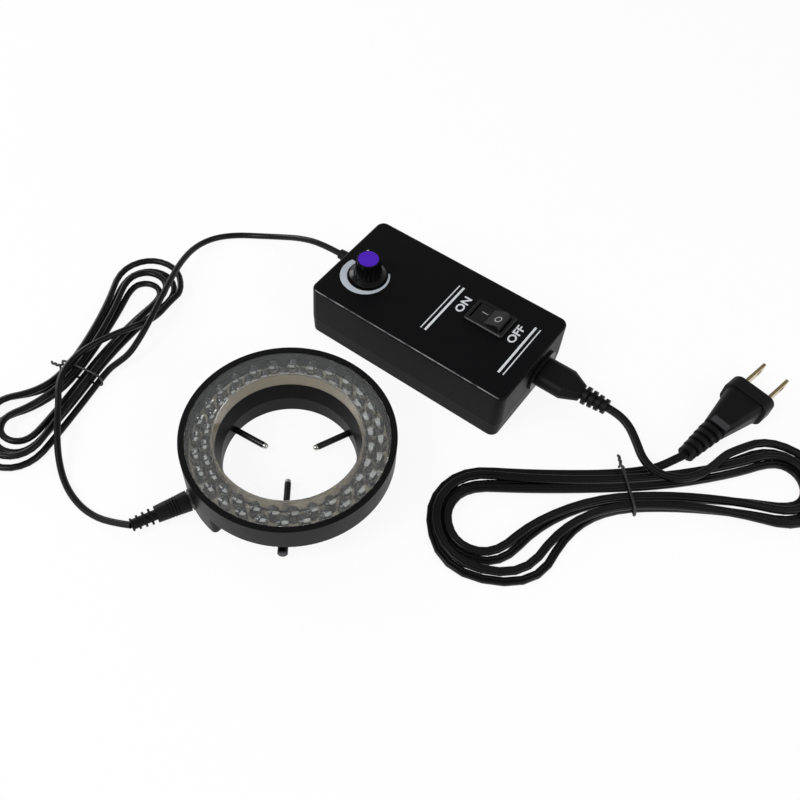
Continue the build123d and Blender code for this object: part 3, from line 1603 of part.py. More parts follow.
# Low voltage lead
nodes["dc_plug_body"] = dc_plug_body()
nodes["dc_plug_barrel"] = dc_barrel()
dc_z = tie_t + dc_cord_d / 2
dc_hank_form = Hank(
    (dc_hank_x, dc_hank_y), dc_hank_azimuth,
    (dc_hank_front, dc_hank_front_bend, dc_hank_front_fold),
    (dc_hank_back, dc_hank_back_bend, dc_hank_back_fold),
    dc_hank_waist, (dc_hank_length_step, dc_hank_fold_step, dc_hank_waist_step),
    (dc_z, dc_z + dc_hank_layer), dc_hank_turn_back, 0)
dc_tube, dc_hank_in, dc_hank_out, dc_hank_length = hank_tube(
    dc_hank_form, dc_hank_start, dc_hank_end, dc_cord_d, "dc_hank")
nodes["dc_hank"] = dc_tube
nodes["dc_gland"] = in_case(dc_gland())
nodes["dc_cord_to_hank"], dc_in_length = free_tube(
    gland_end(), dc_route_in, dc_hank_in, dc_cord_d, "dc_cord_to_hank")
nodes["dc_cord_to_ring"], dc_out_length = free_tube(
    dc_hank_out, dc_route_out, polar(dc_relief_end(), jack_azimuth, jack_z), dc_cord_d, "dc_cord_to_ring")
nodes["dc_hank_tie"] = hank_tie(
    dc_hank_form, dc_hank_waist + dc_cord_d / 2, dc_hank_waist + dc_cord_d / 2,
    dc_z + 2 * dc_hank_layer + dc_cord_d / 2, dc_cord_d, 1)
print("low voltage lead", round(dc_in_length + dc_hank_length + dc_out_length, 1))

# Controller
nodes["case_top"] = in_case(case_top())
nodes["case_bottom"] = in_case(case_bottom())
nodes["case_screws"] = in_case(case_screws())
nodes["knob"] = in_case(knob())
nodes["knob_cap"] = in_case(knob_cap())
nodes["knob_pointer"] = in_case(knob_pointer_piece())
nodes["pot_body"] = in_case(pot_body())
nodes["pot_shaft"] = in_case(pot_shaft())
nodes["pot_nut"] = in_case(pot_nut())
nodes["switch_housing"] = in_case(switch_housing())
nodes["rocker"] = in_case(rocker())
nodes["switch_terminals"] = in_case(group(terminal_blades()))
nodes["mains_inlet"] = in_case(mains_inlet())
nodes["inlet_pins"] = in_case(inlet_pins())
nodes["circuit_board"] = in_case(circuit_board())
nodes["circuit_board_screws"] = in_case(pcb_screws())
nodes["transformer_core"] = in_case(transformer_core())
nodes["transformer_winding"] = in_case(transformer_winding())
nodes["capacitors"] = in_case(capacitors())
nodes["heat_sink"] = in_case(heat_sink())
nodes["regulator"] = in_case(regulator())
nodes["fuse"] = in_case(fuse())
nodes["fuse_clips"] = in_case(fuse_clips())
nodes["inner_wires"] = in_case(inner_wires())

# Mains lead
nodes["mains_connector"] = in_case(mains_connector())
nodes["connector_contacts"] = in_case(connector_contacts())
mains_z = tie_t + mains_cord_d / 2
mains_hank_form = Hank(
    (mains_hank_x, mains_hank_y), mains_hank_azimuth,
    (mains_hank_front, mains_hank_front_bend, mains_hank_front_fold),
    (mains_hank_back, mains_hank_back_bend, mains_hank_back_fold),
    mains_hank_waist, (mains_hank_length_step, mains_hank_fold_step, mains_hank_waist_step),
    (mains_z + mains_hank_layer, mains_z), mains_hank_turn_back, 1)
mains_tube, mains_hank_in, mains_hank_out, mains_hank_length = hank_tube(
    mains_hank_form, mains_hank_start, mains_hank_end, mains_cord_d, "mains_hank")
nodes["mains_hank"] = mains_tube
nodes["mains_cord_to_hank"], mains_in_length = free_tube(
    case_point(connector_end_u(), row_v, inlet_z), mains_route_in, mains_hank_in, mains_cord_d,
    "mains_cord_to_hank")
nodes["mains_cord_to_plug"], mains_out_length = free_tube(
    mains_hank_out, mains_route_out, (plug_x, plug_y, plug_z), mains_cord_d, "mains_cord_to_plug")
nodes["mains_hank_tie"] = hank_tie(
    mains_hank_form, mains_hank_waist + mains_hank_waist_step / 4 + mains_cord_d / 2,
    mains_hank_waist + mains_cord_d / 2, mains_z + mains_hank_layer + mains_cord_d / 2,
    mains_cord_d, -1)
print("mains lead", round(mains_in_length + mains_hank_length + mains_out_length, 1))
nodes["mains_plug"] = mains_plug()
nodes["plug_blades"] = plug_blades()

for name, shape in nodes.items():
    export_step(shape, f"parts/{name}.step")
print(len(nodes), "nodes")
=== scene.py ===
from math import cos, floor, pi, radians, sin, sqrt

import bmesh
import bpy
from mathutils import Matrix, Vector


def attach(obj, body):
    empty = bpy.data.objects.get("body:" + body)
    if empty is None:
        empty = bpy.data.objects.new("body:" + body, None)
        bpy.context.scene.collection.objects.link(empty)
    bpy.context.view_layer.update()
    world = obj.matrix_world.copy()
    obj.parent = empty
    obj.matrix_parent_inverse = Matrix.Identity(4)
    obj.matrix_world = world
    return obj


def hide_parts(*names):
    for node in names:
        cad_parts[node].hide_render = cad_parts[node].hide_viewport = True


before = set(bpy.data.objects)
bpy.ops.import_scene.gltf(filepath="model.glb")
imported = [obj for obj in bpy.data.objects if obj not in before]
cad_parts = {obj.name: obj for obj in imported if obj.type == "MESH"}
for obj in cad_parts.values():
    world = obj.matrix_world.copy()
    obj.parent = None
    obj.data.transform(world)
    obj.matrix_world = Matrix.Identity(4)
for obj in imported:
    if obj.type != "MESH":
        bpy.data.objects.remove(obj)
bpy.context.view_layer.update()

# A ring light for a microscope, its mains controller and their two coiled leads.
# Lengths are in metres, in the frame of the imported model.

scene = bpy.context.scene
scene.view_settings.view_transform = "Standard"
mm = 0.001

# Ring light
ring_r = 48.25 * mm
rim_wall = 2.7 * mm
ring_top = 25.7 * mm
board_top = 16.0 * mm
inner_rim_r = 33.0 * mm
inner_rim_wall = 0.9 * mm
inner_rim_z = 17.3 * mm
cover_recess = 0.2 * mm
cover_t = 0.9 * mm
cover_play = 0.1 * mm
cover_edge = 0.35 * mm
ring_steps = 192
lamp_count = 28
lamp_inner_r = 36.75 * mm
lamp_outer_r = 41.0 * mm
lamp_outer_azimuth = 88.6
lamp_r = 2.5 * mm
lamp_flange_r = 2.8 * mm
lamp_flange_h = 1.0 * mm
lamp_h = 8.5 * mm
lamp_steps = 18
lead_offset = 1.27 * mm
lead_t = 0.46 * mm
lead_h = 4.6 * mm
lead_below = 1.9 * mm
lead_edge = 0.05 * mm
cup_size = (1.9 * mm, 1.1 * mm, 1.1 * mm)
cup_centre = (0.6 * mm, 0.0, lead_h)
cup_edge = 0.2 * mm
post_size = (1.0 * mm, 0.5 * mm, 0.9 * mm)
post_centre = (-1.2 * mm, 0.0, lead_h + 0.2 * mm)
post_edge = 0.1 * mm
wall_gap = 0.02 * mm

# Controller
case_at = (69.945 * mm, 71.088 * mm, 0.0)
case_yaw = radians(-38.02)
case_place = Matrix.Translation(case_at) @ Matrix.Rotation(case_yaw, 4, "Z")
case_top_z = 30.0 * mm
case_half_w = 29.8 * mm
# Height of the painted highlight line along the case's front top edge.
highlight_edge_z = case_top_z - 0.42 * mm

# Prints, in the case's own frame
print_t = 0.05 * mm
print_edge = 0.01 * mm
ink_z = case_top_z + print_t / 2
line_low = -16.8 * mm
line_high = 16.3 * mm
thin_line_w = 0.55 * mm
thick_line_w = 1.15 * mm
line_places = (
    (1.6 * mm, thin_line_w), (4.05 * mm, thick_line_w), (44.46 * mm, thick_line_w), (46.9 * mm, thin_line_w))
crescent_r = 12.3 * mm
crescent_inner_r = 10.1 * mm
crescent_shift = 1.25 * mm
crescent_at = (-38.7 * mm, -6.7 * mm, case_top_z)
crescent_start = radians(120.0)
crescent_span = radians(245.0)
crescent_steps = 96
word_size = 5.6 * mm
word_stretch = 1.2
word_bold_share = 0.022
on_word_at = (9.5 * mm, 7.2 * mm)
off_word_at = (39.0 * mm, 7.0 * mm)
on_mark_at = (21.4 * mm, 7.8 * mm)
off_mark_at = (29.0 * mm, 6.8 * mm)
on_mark_size = (3.2 * mm, 0.42 * mm, print_t)
off_mark_r = 1.85 * mm
off_mark_inner_r = 1.35 * mm
off_mark_steps = 40

# Mains plug and the pad on its grip
plug_place = Matrix.Translation((180.4 * mm, 0.8 * mm, 7.4 * mm)) @ Matrix.Rotation(radians(40.5), 4, "Z")
pad_size = (3.6 * mm, 8.6 * mm, 0.9 * mm)
pad_centre = (22.9 * mm, -0.6 * mm, 4.1 * mm)
pad_edge = 0.2 * mm

# Cords
dc_cord_d = 3.2 * mm
mains_cord_w = 3.7 * mm
mains_cord_h = 2.5 * mm
dc_gland_end = (0.0234, 0.1168, 0.0172)
dc_plug_end = (-0.06794, -0.03462, 0.006)
mains_relief_end = (0.14584, 0.02108, 0.0156)
mains_plug_end = (0.1804, 0.0008, 0.0074)
dc_layers = (2.1 * mm, 5.5 * mm)
mains_layers = (4.45 * mm, 1.75 * mm)
tie_wire_d = 1.2 * mm
tie_tail_z = 2.6 * mm
tie_lead = 3.0 * mm
tie_twists = 7
tie_twist_turn = 0.75 * pi
tie_twist_step = 0.7 * tie_wire_d
# The flat twin cord's section in mm, with a shallow groove between its two cores.
twin_outline = [
    (1.9, 0.0), (1.85, 0.85), (1.25, 1.3), (0.5, 1.25),
    (0.0, 0.95), (-0.5, 1.25), (-1.25, 1.3), (-1.85, 0.85),
    (-1.9, 0.0), (-1.85, -0.85), (-1.25, -1.3), (-0.5, -1.25),
    (0.0, -0.95), (0.5, -1.25), (1.25, -1.3), (1.85, -0.85),
]

dc_route_in = [
    (0.0134, 0.1246, 0.0169),
    (0.0026, 0.1326, 0.0126),
    (-0.0074, 0.1394, 0.0068),
    (-0.0200, 0.1444, 0.0026),
    (-0.0339, 0.1463, 0.0016),
    (-0.0460, 0.1432, 0.0024),
    (-0.0550, 0.1332, 0.0056),
    (-0.0606, 0.1186, 0.0092),
    (-0.0648, 0.1030, 0.0110),
    (-0.0685, 0.0888, 0.0114),
    (-0.0721, 0.0758, 0.0112),
    (-0.0756, 0.0683, 0.0090),
    (-0.0805, 0.0601, 0.0060),
    (-0.0866, 0.0560, 0.0036),
    (-0.0909, 0.0527, 0.0026),
]
dc_route_out = [
    (-0.0701, 0.0830, 0.0064),
    (-0.0783, 0.0764, 0.0082),
    (-0.0877, 0.0702, 0.0094),
    (-0.0972, 0.0640, 0.0096),
    (-0.1050, 0.0571, 0.0094),
    (-0.1100, 0.0481, 0.0094),
    (-0.1113, 0.0383, 0.0096),
    (-0.1094, 0.0286, 0.0098),
    (-0.1082, 0.0188, 0.0094),
    (-0.1074, 0.0088, 0.0070),
    (-0.1056, -0.0010, 0.0040),
    (-0.1022, -0.0104, 0.0020),
    (-0.0968, -0.0188, 0.0016),
    (-0.0892, -0.0262, 0.0017),
    (-0.0790, -0.0318, 0.0034),
]
mains_route_in = [
    (0.1506, 0.0174, 0.0155),
    (0.1548, 0.0112, 0.0146),
    (0.1572, 0.0040, 0.0124),
    (0.1592, -0.0030, 0.0100),
    (0.1636, -0.0086, 0.0085),
    (0.1700, -0.0118, 0.0081),
    (0.1775, -0.0124, 0.0080),
    (0.1850, -0.0100, 0.0078),
    (0.1918, -0.0052, 0.0072),
    (0.1982, 0.0004, 0.0063),
    (0.2033, 0.0036, 0.0054),
]
mains_route_out = [
    (0.1616, -0.0045, 0.0020),
    (0.1680, -0.0036, 0.0032),
    (0.1742, -0.0016, 0.0054),
]


# Materials


def linear(colour):
    """A shader colour from sRGB hex."""
    channels = [int(colour[i:i + 2], 16) / 255 for i in (1, 3, 5)]
    return [c / 12.92 if c <= 0.04045 else ((c + 0.055) / 1.055) ** 2.4 for c in channels] + [1.0]


def add(tree, kind, inputs=None, **settings):
    """Adds a node with its settings, its values and the sockets that feed it."""
    node = tree.nodes.new(kind)
    for name, value in settings.items():
        setattr(node, name, value)
    for name, value in (inputs or {}).items():
        if isinstance(value, bpy.types.NodeSocket):
            tree.links.new(value, node.inputs[name])
        else:
            node.inputs[name].default_value = value
    return node


def surface(name, **sockets):
    """A material with a Principled shader: the material, its tree, the shader and object coordinates."""
    material = bpy.data.materials.new(name)
    material.use_nodes = True
    tree = material.node_tree
    tree.nodes.clear()
    shader = add(tree, "ShaderNodeBsdfPrincipled", sockets)
    add(tree, "ShaderNodeOutputMaterial", {"Surface": shader.outputs[0]})
    place = add(tree, "ShaderNodeTexCoord").outputs["Object"]
    return material, tree, shader, place


def link_colour(tree, mix, shader):
    """Feeds a colour mix into the shader's base colour."""
    tree.links.new(mix.outputs[2], shader.inputs["Base Color"])


def moulded(name, dark, light, roughness, grain, depth, gloss=0.5, swing=0.06):
    """An injection moulded plastic: spark eroded grain, faint flow mottling and uneven sheen."""
    material, tree, shader, place = surface(name, **{"IOR": 1.5, "Specular IOR Level": gloss})
    mottle = add(tree, "ShaderNodeTexNoise", {"Vector": place, "Scale": 1 / (14 * mm), "Detail": 4.0})
    tint = add(tree, "ShaderNodeMix", {
        "Factor": mottle.outputs["Fac"], "A": linear(dark), "B": linear(light)}, data_type="RGBA")
    link_colour(tree, tint, shader)
    rub = add(tree, "ShaderNodeTexNoise", {"Vector": place, "Scale": 1 / (5 * mm), "Detail": 6.0})
    sheen = add(tree, "ShaderNodeMapRange", {
        "Value": rub.outputs["Fac"], "To Min": roughness - swing, "To Max": roughness + swing})
    tree.links.new(sheen.outputs["Result"], shader.inputs["Roughness"])
    pits = add(tree, "ShaderNodeTexNoise", {
        "Vector": place, "Scale": 1 / grain, "Detail": 3.0, "Roughness": 0.6})
    bump = add(tree, "ShaderNodeBump", {
        "Height": pits.outputs["Fac"], "Strength": 0.5, "Distance": depth})
    tree.links.new(bump.outputs["Normal"], shader.inputs["Normal"])
    return material


def metal(name, dark, light, roughness, grain, swing=0.08):
    """A drawn or turned metal: fine tool marks and slight tarnish."""
    material, tree, shader, place = surface(name, Metallic=1.0)
    tarnish = add(tree, "ShaderNodeTexNoise", {"Vector": place, "Scale": 1 / (3 * mm), "Detail": 5.0})
    tint = add(tree, "ShaderNodeMix", {
        "Factor": tarnish.outputs["Fac"], "A": linear(dark), "B": linear(light)}, data_type="RGBA")
    link_colour(tree, tint, shader)
    sheen = add(tree, "ShaderNodeMapRange", {
        "Value": tarnish.outputs["Fac"], "To Min": roughness - swing, "To Max": roughness + swing})
    tree.links.new(sheen.outputs["Result"], shader.inputs["Roughness"])
    marks = add(tree, "ShaderNodeTexNoise", {"Vector": place, "Scale": 1 / grain, "Detail": 2.0})
    bump = add(tree, "ShaderNodeBump", {
        "Height": marks.outputs["Fac"], "Strength": 0.35, "Distance": 0.02 * mm})
    tree.links.new(bump.outputs["Normal"], shader.inputs["Normal"])
    return material


def clear_resin(name, colour, roughness, ior, ripple, clearness=1.0):
    """A clear moulded resin, with the faint ripple of its mould."""
    material, tree, shader, place = surface(
        name, **{"Base Color": linear(colour), "IOR": ior, "Transmission Weight": clearness})
    haze = add(tree, "ShaderNodeTexNoise", {"Vector": place, "Scale": 1 / (4 * mm), "Detail": 3.0})
    sheen = add(tree, "ShaderNodeMapRange", {
        "Value": haze.outputs["Fac"], "To Min": roughness * 0.6, "To Max": roughness * 1.4})
    tree.links.new(sheen.outputs["Result"], shader.inputs["Roughness"])
    waves = add(tree, "ShaderNodeTexNoise", {"Vector": place, "Scale": 1 / (6 * mm), "Detail": 1.0})
    bump = add(tree, "ShaderNodeBump", {
        "Height": waves.outputs["Fac"], "Strength": 0.3, "Distance": ripple})
    tree.links.new(bump.outputs["Normal"], shader.inputs["Normal"])
    return material


def printed_ink(name, dark, light):
    """Screen printed ink: opaque, matt, with the mesh's faint unevenness."""
    material, tree, shader, place = surface(name, Roughness=0.55)
    thin = add(tree, "ShaderNodeTexNoise", {"Vector": place, "Scale": 1 / (0.7 * mm), "Detail": 4.0})
    tint = add(tree, "ShaderNodeMix", {
        "Factor": thin.outputs["Fac"], "A": linear(dark), "B": linear(light)}, data_type="RGBA")
    link_colour(tree, tint, shader)
    bump = add(tree, "ShaderNodeBump", {
        "Height": thin.outputs["Fac"], "Strength": 0.3, "Distance": 0.01 * mm})
    tree.links.new(bump.outputs["Normal"], shader.inputs["Normal"])
    return material


def laminate(name, dark, light, weave):
    """Glass or paper laminate board: the weave shows through the resin."""
    material, tree, shader, place = surface(name, Roughness=0.42)
    cells = add(tree, "ShaderNodeTexVoronoi", {"Vector": place, "Scale": 1 / weave})
    cloud = add(tree, "ShaderNodeTexNoise", {"Vector": place, "Scale": 1 / (6 * mm), "Detail": 5.0})
    mixed = add(tree, "ShaderNodeMath", {0: cells.outputs["Distance"], 1: cloud.outputs["Fac"]},
                operation="MULTIPLY")
    spread = add(tree, "ShaderNodeMapRange", {"Value": mixed.outputs[0], "From Max": 0.4})
    tint = add(tree, "ShaderNodeMix", {
        "Factor": spread.outputs["Result"], "A": linear(dark), "B": linear(light)}, data_type="RGBA")
    link_colour(tree, tint, shader)
    bump = add(tree, "ShaderNodeBump", {
        "Height": cells.outputs["Distance"], "Strength": 0.3, "Distance": 0.03 * mm})
    tree.links.new(bump.outputs["Normal"], shader.inputs["Normal"])
    return material


def wound_wire(name, dark, light, pitch):
    """Enamelled wire wound side by side, seen as fine parallel bands."""
    material, tree, shader, place = surface(name, Roughness=0.3)
    turns = add(tree, "ShaderNodeTexWave", {"Vector": place, "Scale": 1 / pitch, "Distortion": 0.6},
                bands_direction="Z")
    tint = add(tree, "ShaderNodeMix", {
        "Factor": turns.outputs["Fac"], "A": linear(dark), "B": linear(light)}, data_type="RGBA")
    link_colour(tree, tint, shader)
    bump = add(tree, "ShaderNodeBump", {
        "Height": turns.outputs["Fac"], "Strength": 0.5, "Distance": 0.05 * mm})
    tree.links.new(bump.outputs["Normal"], shader.inputs["Normal"])
    return material


# Black ABS of the ring light: a satin spark eroded grain that catches a grey sheen on its walls.
housing_abs = moulded(
    "ABS, black, spark eroded satin", "#09090a", "#0e0e0f", 0.42, 0.35 * mm, 0.02 * mm, gloss=0.12)
# Black ABS of the controller: the same grain, darker and duller, so that only its edges shine; the pale line
# on its front top edge is a painted highlight.
case_abs = moulded("ABS, black, fine satin", "#08080a", "#0c0c0e", 0.44, 0.4 * mm, 0.02 * mm, gloss=0.08)
# Black PVC of the cords: extruded, so a soft line of light runs along them.
cord_pvc = moulded("PVC cord, black, extruded", "#080809", "#0d0d0e", 0.34, 1.1 * mm, 0.012 * mm, gloss=0.2)
# Black PVC of the plugs: moulded soft with a dull sheen.
plug_pvc = moulded("PVC, black, moulded soft", "#0c0c0d", "#121213", 0.45, 0.5 * mm, 0.03 * mm, gloss=0.14)
# Grey PVC of the plug's pad and front, where the mould was left dull.
patch_pvc = moulded(
    "PVC, dark grey, moulded dull", "#303032", "#3a3a3c", 0.55, 0.5 * mm, 0.02 * mm, gloss=0.25)
# Black sleeved wire of the ties: thin, slightly waxy, so it stands out grey from the cords.
tie_plastic = moulded("PVC sleeved tie wire, black", "#1d1d1f", "#29292b", 0.4, 0.3 * mm, 0.02 * mm)
# Black ABS of the knob: polished mould, so its flutes glint.
knob_abs = moulded(
    "ABS, black, polished", "#070708", "#0b0b0c", 0.2, 0.8 * mm, 0.004 * mm, gloss=0.28, swing=0.04)
# Violet ABS of the knob's disc: dull, so its colour stays full.
cap_abs = moulded("ABS, violet, satin", "#4415a8", "#4c1cb6", 0.5, 0.5 * mm, 0.006 * mm, gloss=0.15)
# White ABS of the knob's pointer: satin.
pointer_abs = moulded("ABS, white, satin", "#dcdcda", "#eeeeec", 0.4, 0.4 * mm, 0.006 * mm)
# Black nylon of the switch: semi matt frame and rocker.
switch_nylon = moulded("Nylon, black, semi matt", "#0c0c0d", "#111112", 0.36, 0.3 * mm, 0.01 * mm, gloss=0.3)
# Black phenolic of inner sockets and packages: dull and plain.
phenolic = moulded("Phenolic, black, dull", "#141414", "#1f1f1f", 0.55, 0.2 * mm, 0.02 * mm)
# PVC sleeves of the inner wires and the capacitors: smooth, with a soft shine.
wire_pvc = moulded("PVC wire, red", "#7d130f", "#931a14", 0.35, 0.9 * mm, 0.01 * mm)
can_sleeve = moulded("Capacitor sleeve, dark blue", "#101d3d", "#16274f", 0.3, 1.0 * mm, 0.01 * mm)
# Blackened steel of the thumb screws: dark oxide that shines along its rounds.
screw_steel = metal("Steel, black oxide, turned", "#2c2c2e", "#454548", 0.32, 0.3 * mm)
# Bright turned steel of the screws' tips.
tip_steel = metal("Steel, bright turned", "#b9b9b7", "#d8d8d4", 0.2, 0.3 * mm)
# Nickel plate of the pins and board screws: warm and bright.
nickel = metal("Nickel plate, bright", "#96958f", "#bdbcb6", 0.24, 0.5 * mm)
# Nickel plate of the jack's bush and nut: rougher, and darkened with painted shade, because the light hardly
# reaches it there.
shaded_nickel = metal("Nickel plate, dull, painted shade", "#4c4c4a", "#6a6a67", 0.36, 0.5 * mm)
# Tinned iron of the lamps' lead frames: they glint inside the lenses.
tinned = metal("Tinned iron lead frame", "#b4b3ae", "#e2e1dc", 0.3, 0.4 * mm)
# Extruded aluminium of the potentiometer and the heat sink: soft grey shine.
aluminium = metal("Aluminium, extruded", "#8d8f92", "#b3b5b8", 0.36, 0.4 * mm)
# Nickel flashed brass of the switch's and the plug's blades: pale yellow.
brass = metal("Brass, nickel flashed", "#a8956a", "#cbb98c", 0.26, 0.5 * mm)
# Ground ferrite of the transformer's core: dull dark grey.
ferrite = moulded("Ferrite, dark grey, ground", "#26262a", "#34343a", 0.5, 0.25 * mm, 0.03 * mm)
# Enamelled copper of the transformer's winding: amber bands, drawn as coarse as they need to show.
winding_wire = wound_wire("Enamelled copper winding", "#7a4a16", "#c07a2c", 0.6 * mm)
# The lamp board is pale tan paper laminate, and the inner board glass cloth under a green mask.
lamp_board_laminate = laminate("Paper laminate, tan", "#b9aa84", "#e6dcc0", 0.8 * mm)
green_board = laminate("Glass laminate, green mask", "#0f3d22", "#1b5c36", 0.9 * mm)
# The cover's plate is clear polycarbonate: it shows the lamps, with a faint ripple.
cover_resin = clear_resin("Polycarbonate, clear, moulded", "#e9ebec", 0.03, 1.5, 0.006 * mm, clearness=0.98)
# The cover's inner wall is the same resin seen edge on: hazy, with the warm light of the board behind it
# painted into its cream colour.
hazy_wall_painted_light = clear_resin("Polycarbonate, hazy wall, painted board light", "#c0b69f", 0.22, 1.4, 0.04 * mm, clearness=0.6)
# The lamps are water clear epoxy and the fuse is glass: both bend what is behind them.
lamp_resin = clear_resin("Epoxy lens, water clear", "#f6f7f7", 0.02, 1.53, 0.01 * mm)
fuse_glass = clear_resin("Soda glass, clear", "#f6fbfa", 0.02, 1.52, 0.01 * mm)
# Screen printed inks of the case and the pad printed ink of the rocker: opaque and matt.
white_ink = printed_ink("Screen ink, white", "#c2c6ca", "#dcdfe1")
scale_ink = printed_ink("Screen ink, pale blue grey", "#a7aeb7", "#bcc3cb")
mark_ink = printed_ink("Pad ink, grey", "#8e8e90", "#a9a9ab")

# A painted highlight along the case's front long top edge: a thin pale line, broken up by noise, where the
# edge's fillet would catch the light.
case_tree = case_abs.node_tree
case_offset = case_place.inverted().translation
case_spot = add(case_tree, "ShaderNodeMapping", {
    "Vector": add(case_tree, "ShaderNodeTexCoord").outputs["Object"],
    "Location": (0.0, case_offset.y, 0.0), "Rotation": (0.0, 0.0, -case_yaw)})
case_axes = add(case_tree, "ShaderNodeSeparateXYZ", {"Vector": case_spot.outputs[0]})
at_side = add(case_tree, "ShaderNodeMapRange", {
    "Value": case_axes.outputs["Y"],
    "From Min": -case_half_w + 1.2 * mm, "From Max": -case_half_w + 0.9 * mm})
off_edge = add(case_tree, "ShaderNodeMath", {0: case_axes.outputs["Z"], 1: highlight_edge_z}, operation="SUBTRACT")
off_edge = add(case_tree, "ShaderNodeMath", {0: off_edge.outputs[0]}, operation="ABSOLUTE")
at_edge = add(case_tree, "ShaderNodeMapRange", {
    "Value": off_edge.outputs[0], "From Min": 0.24 * mm, "From Max": 0.1 * mm})
highlight_breakup_noise = add(case_tree, "ShaderNodeTexNoise", {
    "Vector": case_spot.outputs[0], "Scale": 1 / (6 * mm), "Detail": 3.0})
highlight_breakup = add(case_tree, "ShaderNodeMapRange", {
    "Value": highlight_breakup_noise.outputs["Fac"], "From Min": 0.3, "From Max": 0.6})
# The mask of the painted highlight: the front side, the top edge and the noise that breaks it up.
painted_highlight = add(case_tree, "ShaderNodeMath", {0: at_side.outputs[0], 1: at_edge.outputs[0]}, operation="MULTIPLY")
painted_highlight = add(case_tree, "ShaderNodeMath", {0: painted_highlight.outputs[0], 1: highlight_breakup.outputs[0]}, operation="MULTIPLY")
case_shader = next(n for n in case_tree.nodes if n.type == "BSDF_PRINCIPLED")
case_black = case_shader.inputs["Base Color"].links[0].from_socket
# The painted highlight mixes a pale grey into the case's black.
case_highlight_tint = add(case_tree, "ShaderNodeMix", {
    "Factor": painted_highlight.outputs[0], "A": case_black, "B": linear("#8c8c8e")}, data_type="RGBA")
link_colour(case_tree, case_highlight_tint, case_shader)

node_materials = {
    "ring_housing": housing_abs,
    "led_board": lamp_board_laminate,
    "led_resistors": phenolic,
    "led_board_screws": nickel,
    "jack_body": phenolic,
    "jack_bush": shaded_nickel,
    "jack_nut": shaded_nickel,
    "jack_pin": nickel,
    "ring_wires": wire_pvc,
    "thumb_screw_1": screw_steel,
    "thumb_screw_2": screw_steel,
    "thumb_screw_3": screw_steel,
    "screw_tip_1": tip_steel,
    "screw_tip_2": tip_steel,
    "screw_tip_3": tip_steel,
    "dc_plug_body": plug_pvc,
    "dc_plug_barrel": nickel,
    "dc_gland": plug_pvc,
    "case_top": case_abs,
    "case_bottom": case_abs,
    "case_screws": screw_steel,
    "knob": knob_abs,
    "knob_cap": cap_abs,
    "knob_pointer": pointer_abs,
    "pot_body": aluminium,
    "pot_shaft": aluminium,
    "pot_nut": nickel,
    "switch_housing": switch_nylon,
    "rocker": switch_nylon,
    "switch_terminals": brass,
    "mains_inlet": switch_nylon,
    "inlet_pins": nickel,
    "circuit_board": green_board,
    "circuit_board_screws": nickel,
    "transformer_core": ferrite,
    "transformer_winding": winding_wire,
    "capacitors": can_sleeve,
    "heat_sink": aluminium,
    "regulator": phenolic,
    "fuse": fuse_glass,
    "fuse_clips": brass,
    "inner_wires": wire_pvc,
    "mains_connector": plug_pvc,
    "connector_contacts": nickel,
    "mains_plug": plug_pvc,
    "ring_cover": cover_resin,
    "leds": lamp_resin,
    "dc_hank_tie": tie_plastic,
    "mains_hank_tie": tie_plastic,
    "dc_cord_to_hank": cord_pvc,
    "dc_hank": cord_pvc,
    "dc_cord_to_ring": cord_pvc,
    "mains_cord_to_hank": cord_pvc,
    "mains_hank": cord_pvc,
    "mains_cord_to_plug": cord_pvc,
    "plug_blades": brass,
}
for node, material in node_materials.items():
    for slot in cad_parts[node].material_slots:
        slot.material = material


# Making pieces


def finished(name, mesh, material, body, sharp=35.0):
    """A finished mesh piece that rides on a body and takes a material slot."""
    mesh.materials.clear()
    mesh.materials.append(material)
    mesh.shade_smooth()
    mesh.set_sharp_from_angle(angle=radians(sharp))
    made = bpy.data.objects.new(name, mesh)
    scene.collection.objects.link(made)
    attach(made, body)
    return made


def mesh_of(bm, name, place=None):
    """The mesh of a bmesh, put in its place with its faces outwards."""
    if place is not None:
        bmesh.ops.transform(bm, matrix=place, verts=bm.verts)
    bmesh.ops.recalc_face_normals(bm, faces=bm.faces)
    mesh = bpy.data.meshes.new(name)
    bm.to_mesh(mesh)
    bm.free()
    return mesh


def spun(outline, steps, closed=True):
    """A shape turned about Z from an outline of (radius, height) points."""
    bm = bmesh.new()
    corners = [bm.verts.new((r, 0.0, z)) for r, z in outline]
    edges = [bm.edges.new(pair) for pair in zip(corners, corners[1:])]
    if closed:
        edges.append(bm.edges.new((corners[-1], corners[0])))
    bmesh.ops.spin(bm, geom=corners + edges, cent=(0.0, 0.0, 0.0), axis=(0.0, 0.0, 1.0), angle=2 * pi,
                   steps=steps, use_merge=True)
    bmesh.ops.remove_doubles(bm, verts=bm.verts, dist=0.001 * mm)
    return bm


def repeated(unit, places, name):
    """One mesh with a copy of a unit mesh at each place."""
    bm = bmesh.new()
    for place in places:
        before = len(bm.verts)
        bm.from_mesh(unit)
        bm.verts.ensure_lookup_table()
        bmesh.ops.transform(bm, matrix=place, verts=bm.verts[before:])
    mesh = bpy.data.meshes.new(name)
    bm.to_mesh(mesh)
    bm.free()
    return mesh


def bar(size, centre, bevel):
    """A bevelled bar as a bmesh."""
    bm = bmesh.new()
    bmesh.ops.create_cube(bm, size=1.0)
    bmesh.ops.scale(bm, vec=size, verts=bm.verts)
    bmesh.ops.bevel(bm, geom=bm.edges[:], offset=bevel, offset_type="OFFSET", affect="EDGES", segments=2,
                    profile=0.5, material=-1)
    bmesh.ops.translate(bm, vec=centre, verts=bm.verts)
    return bm


def joined(bms):
    """Several bmeshes in one."""
    whole = bmesh.new()
    for bm in bms:
        part = bpy.data.meshes.new("part")
        bm.to_mesh(part)
        bm.free()
        whole.from_mesh(part)
        bpy.data.meshes.remove(part)
    return whole


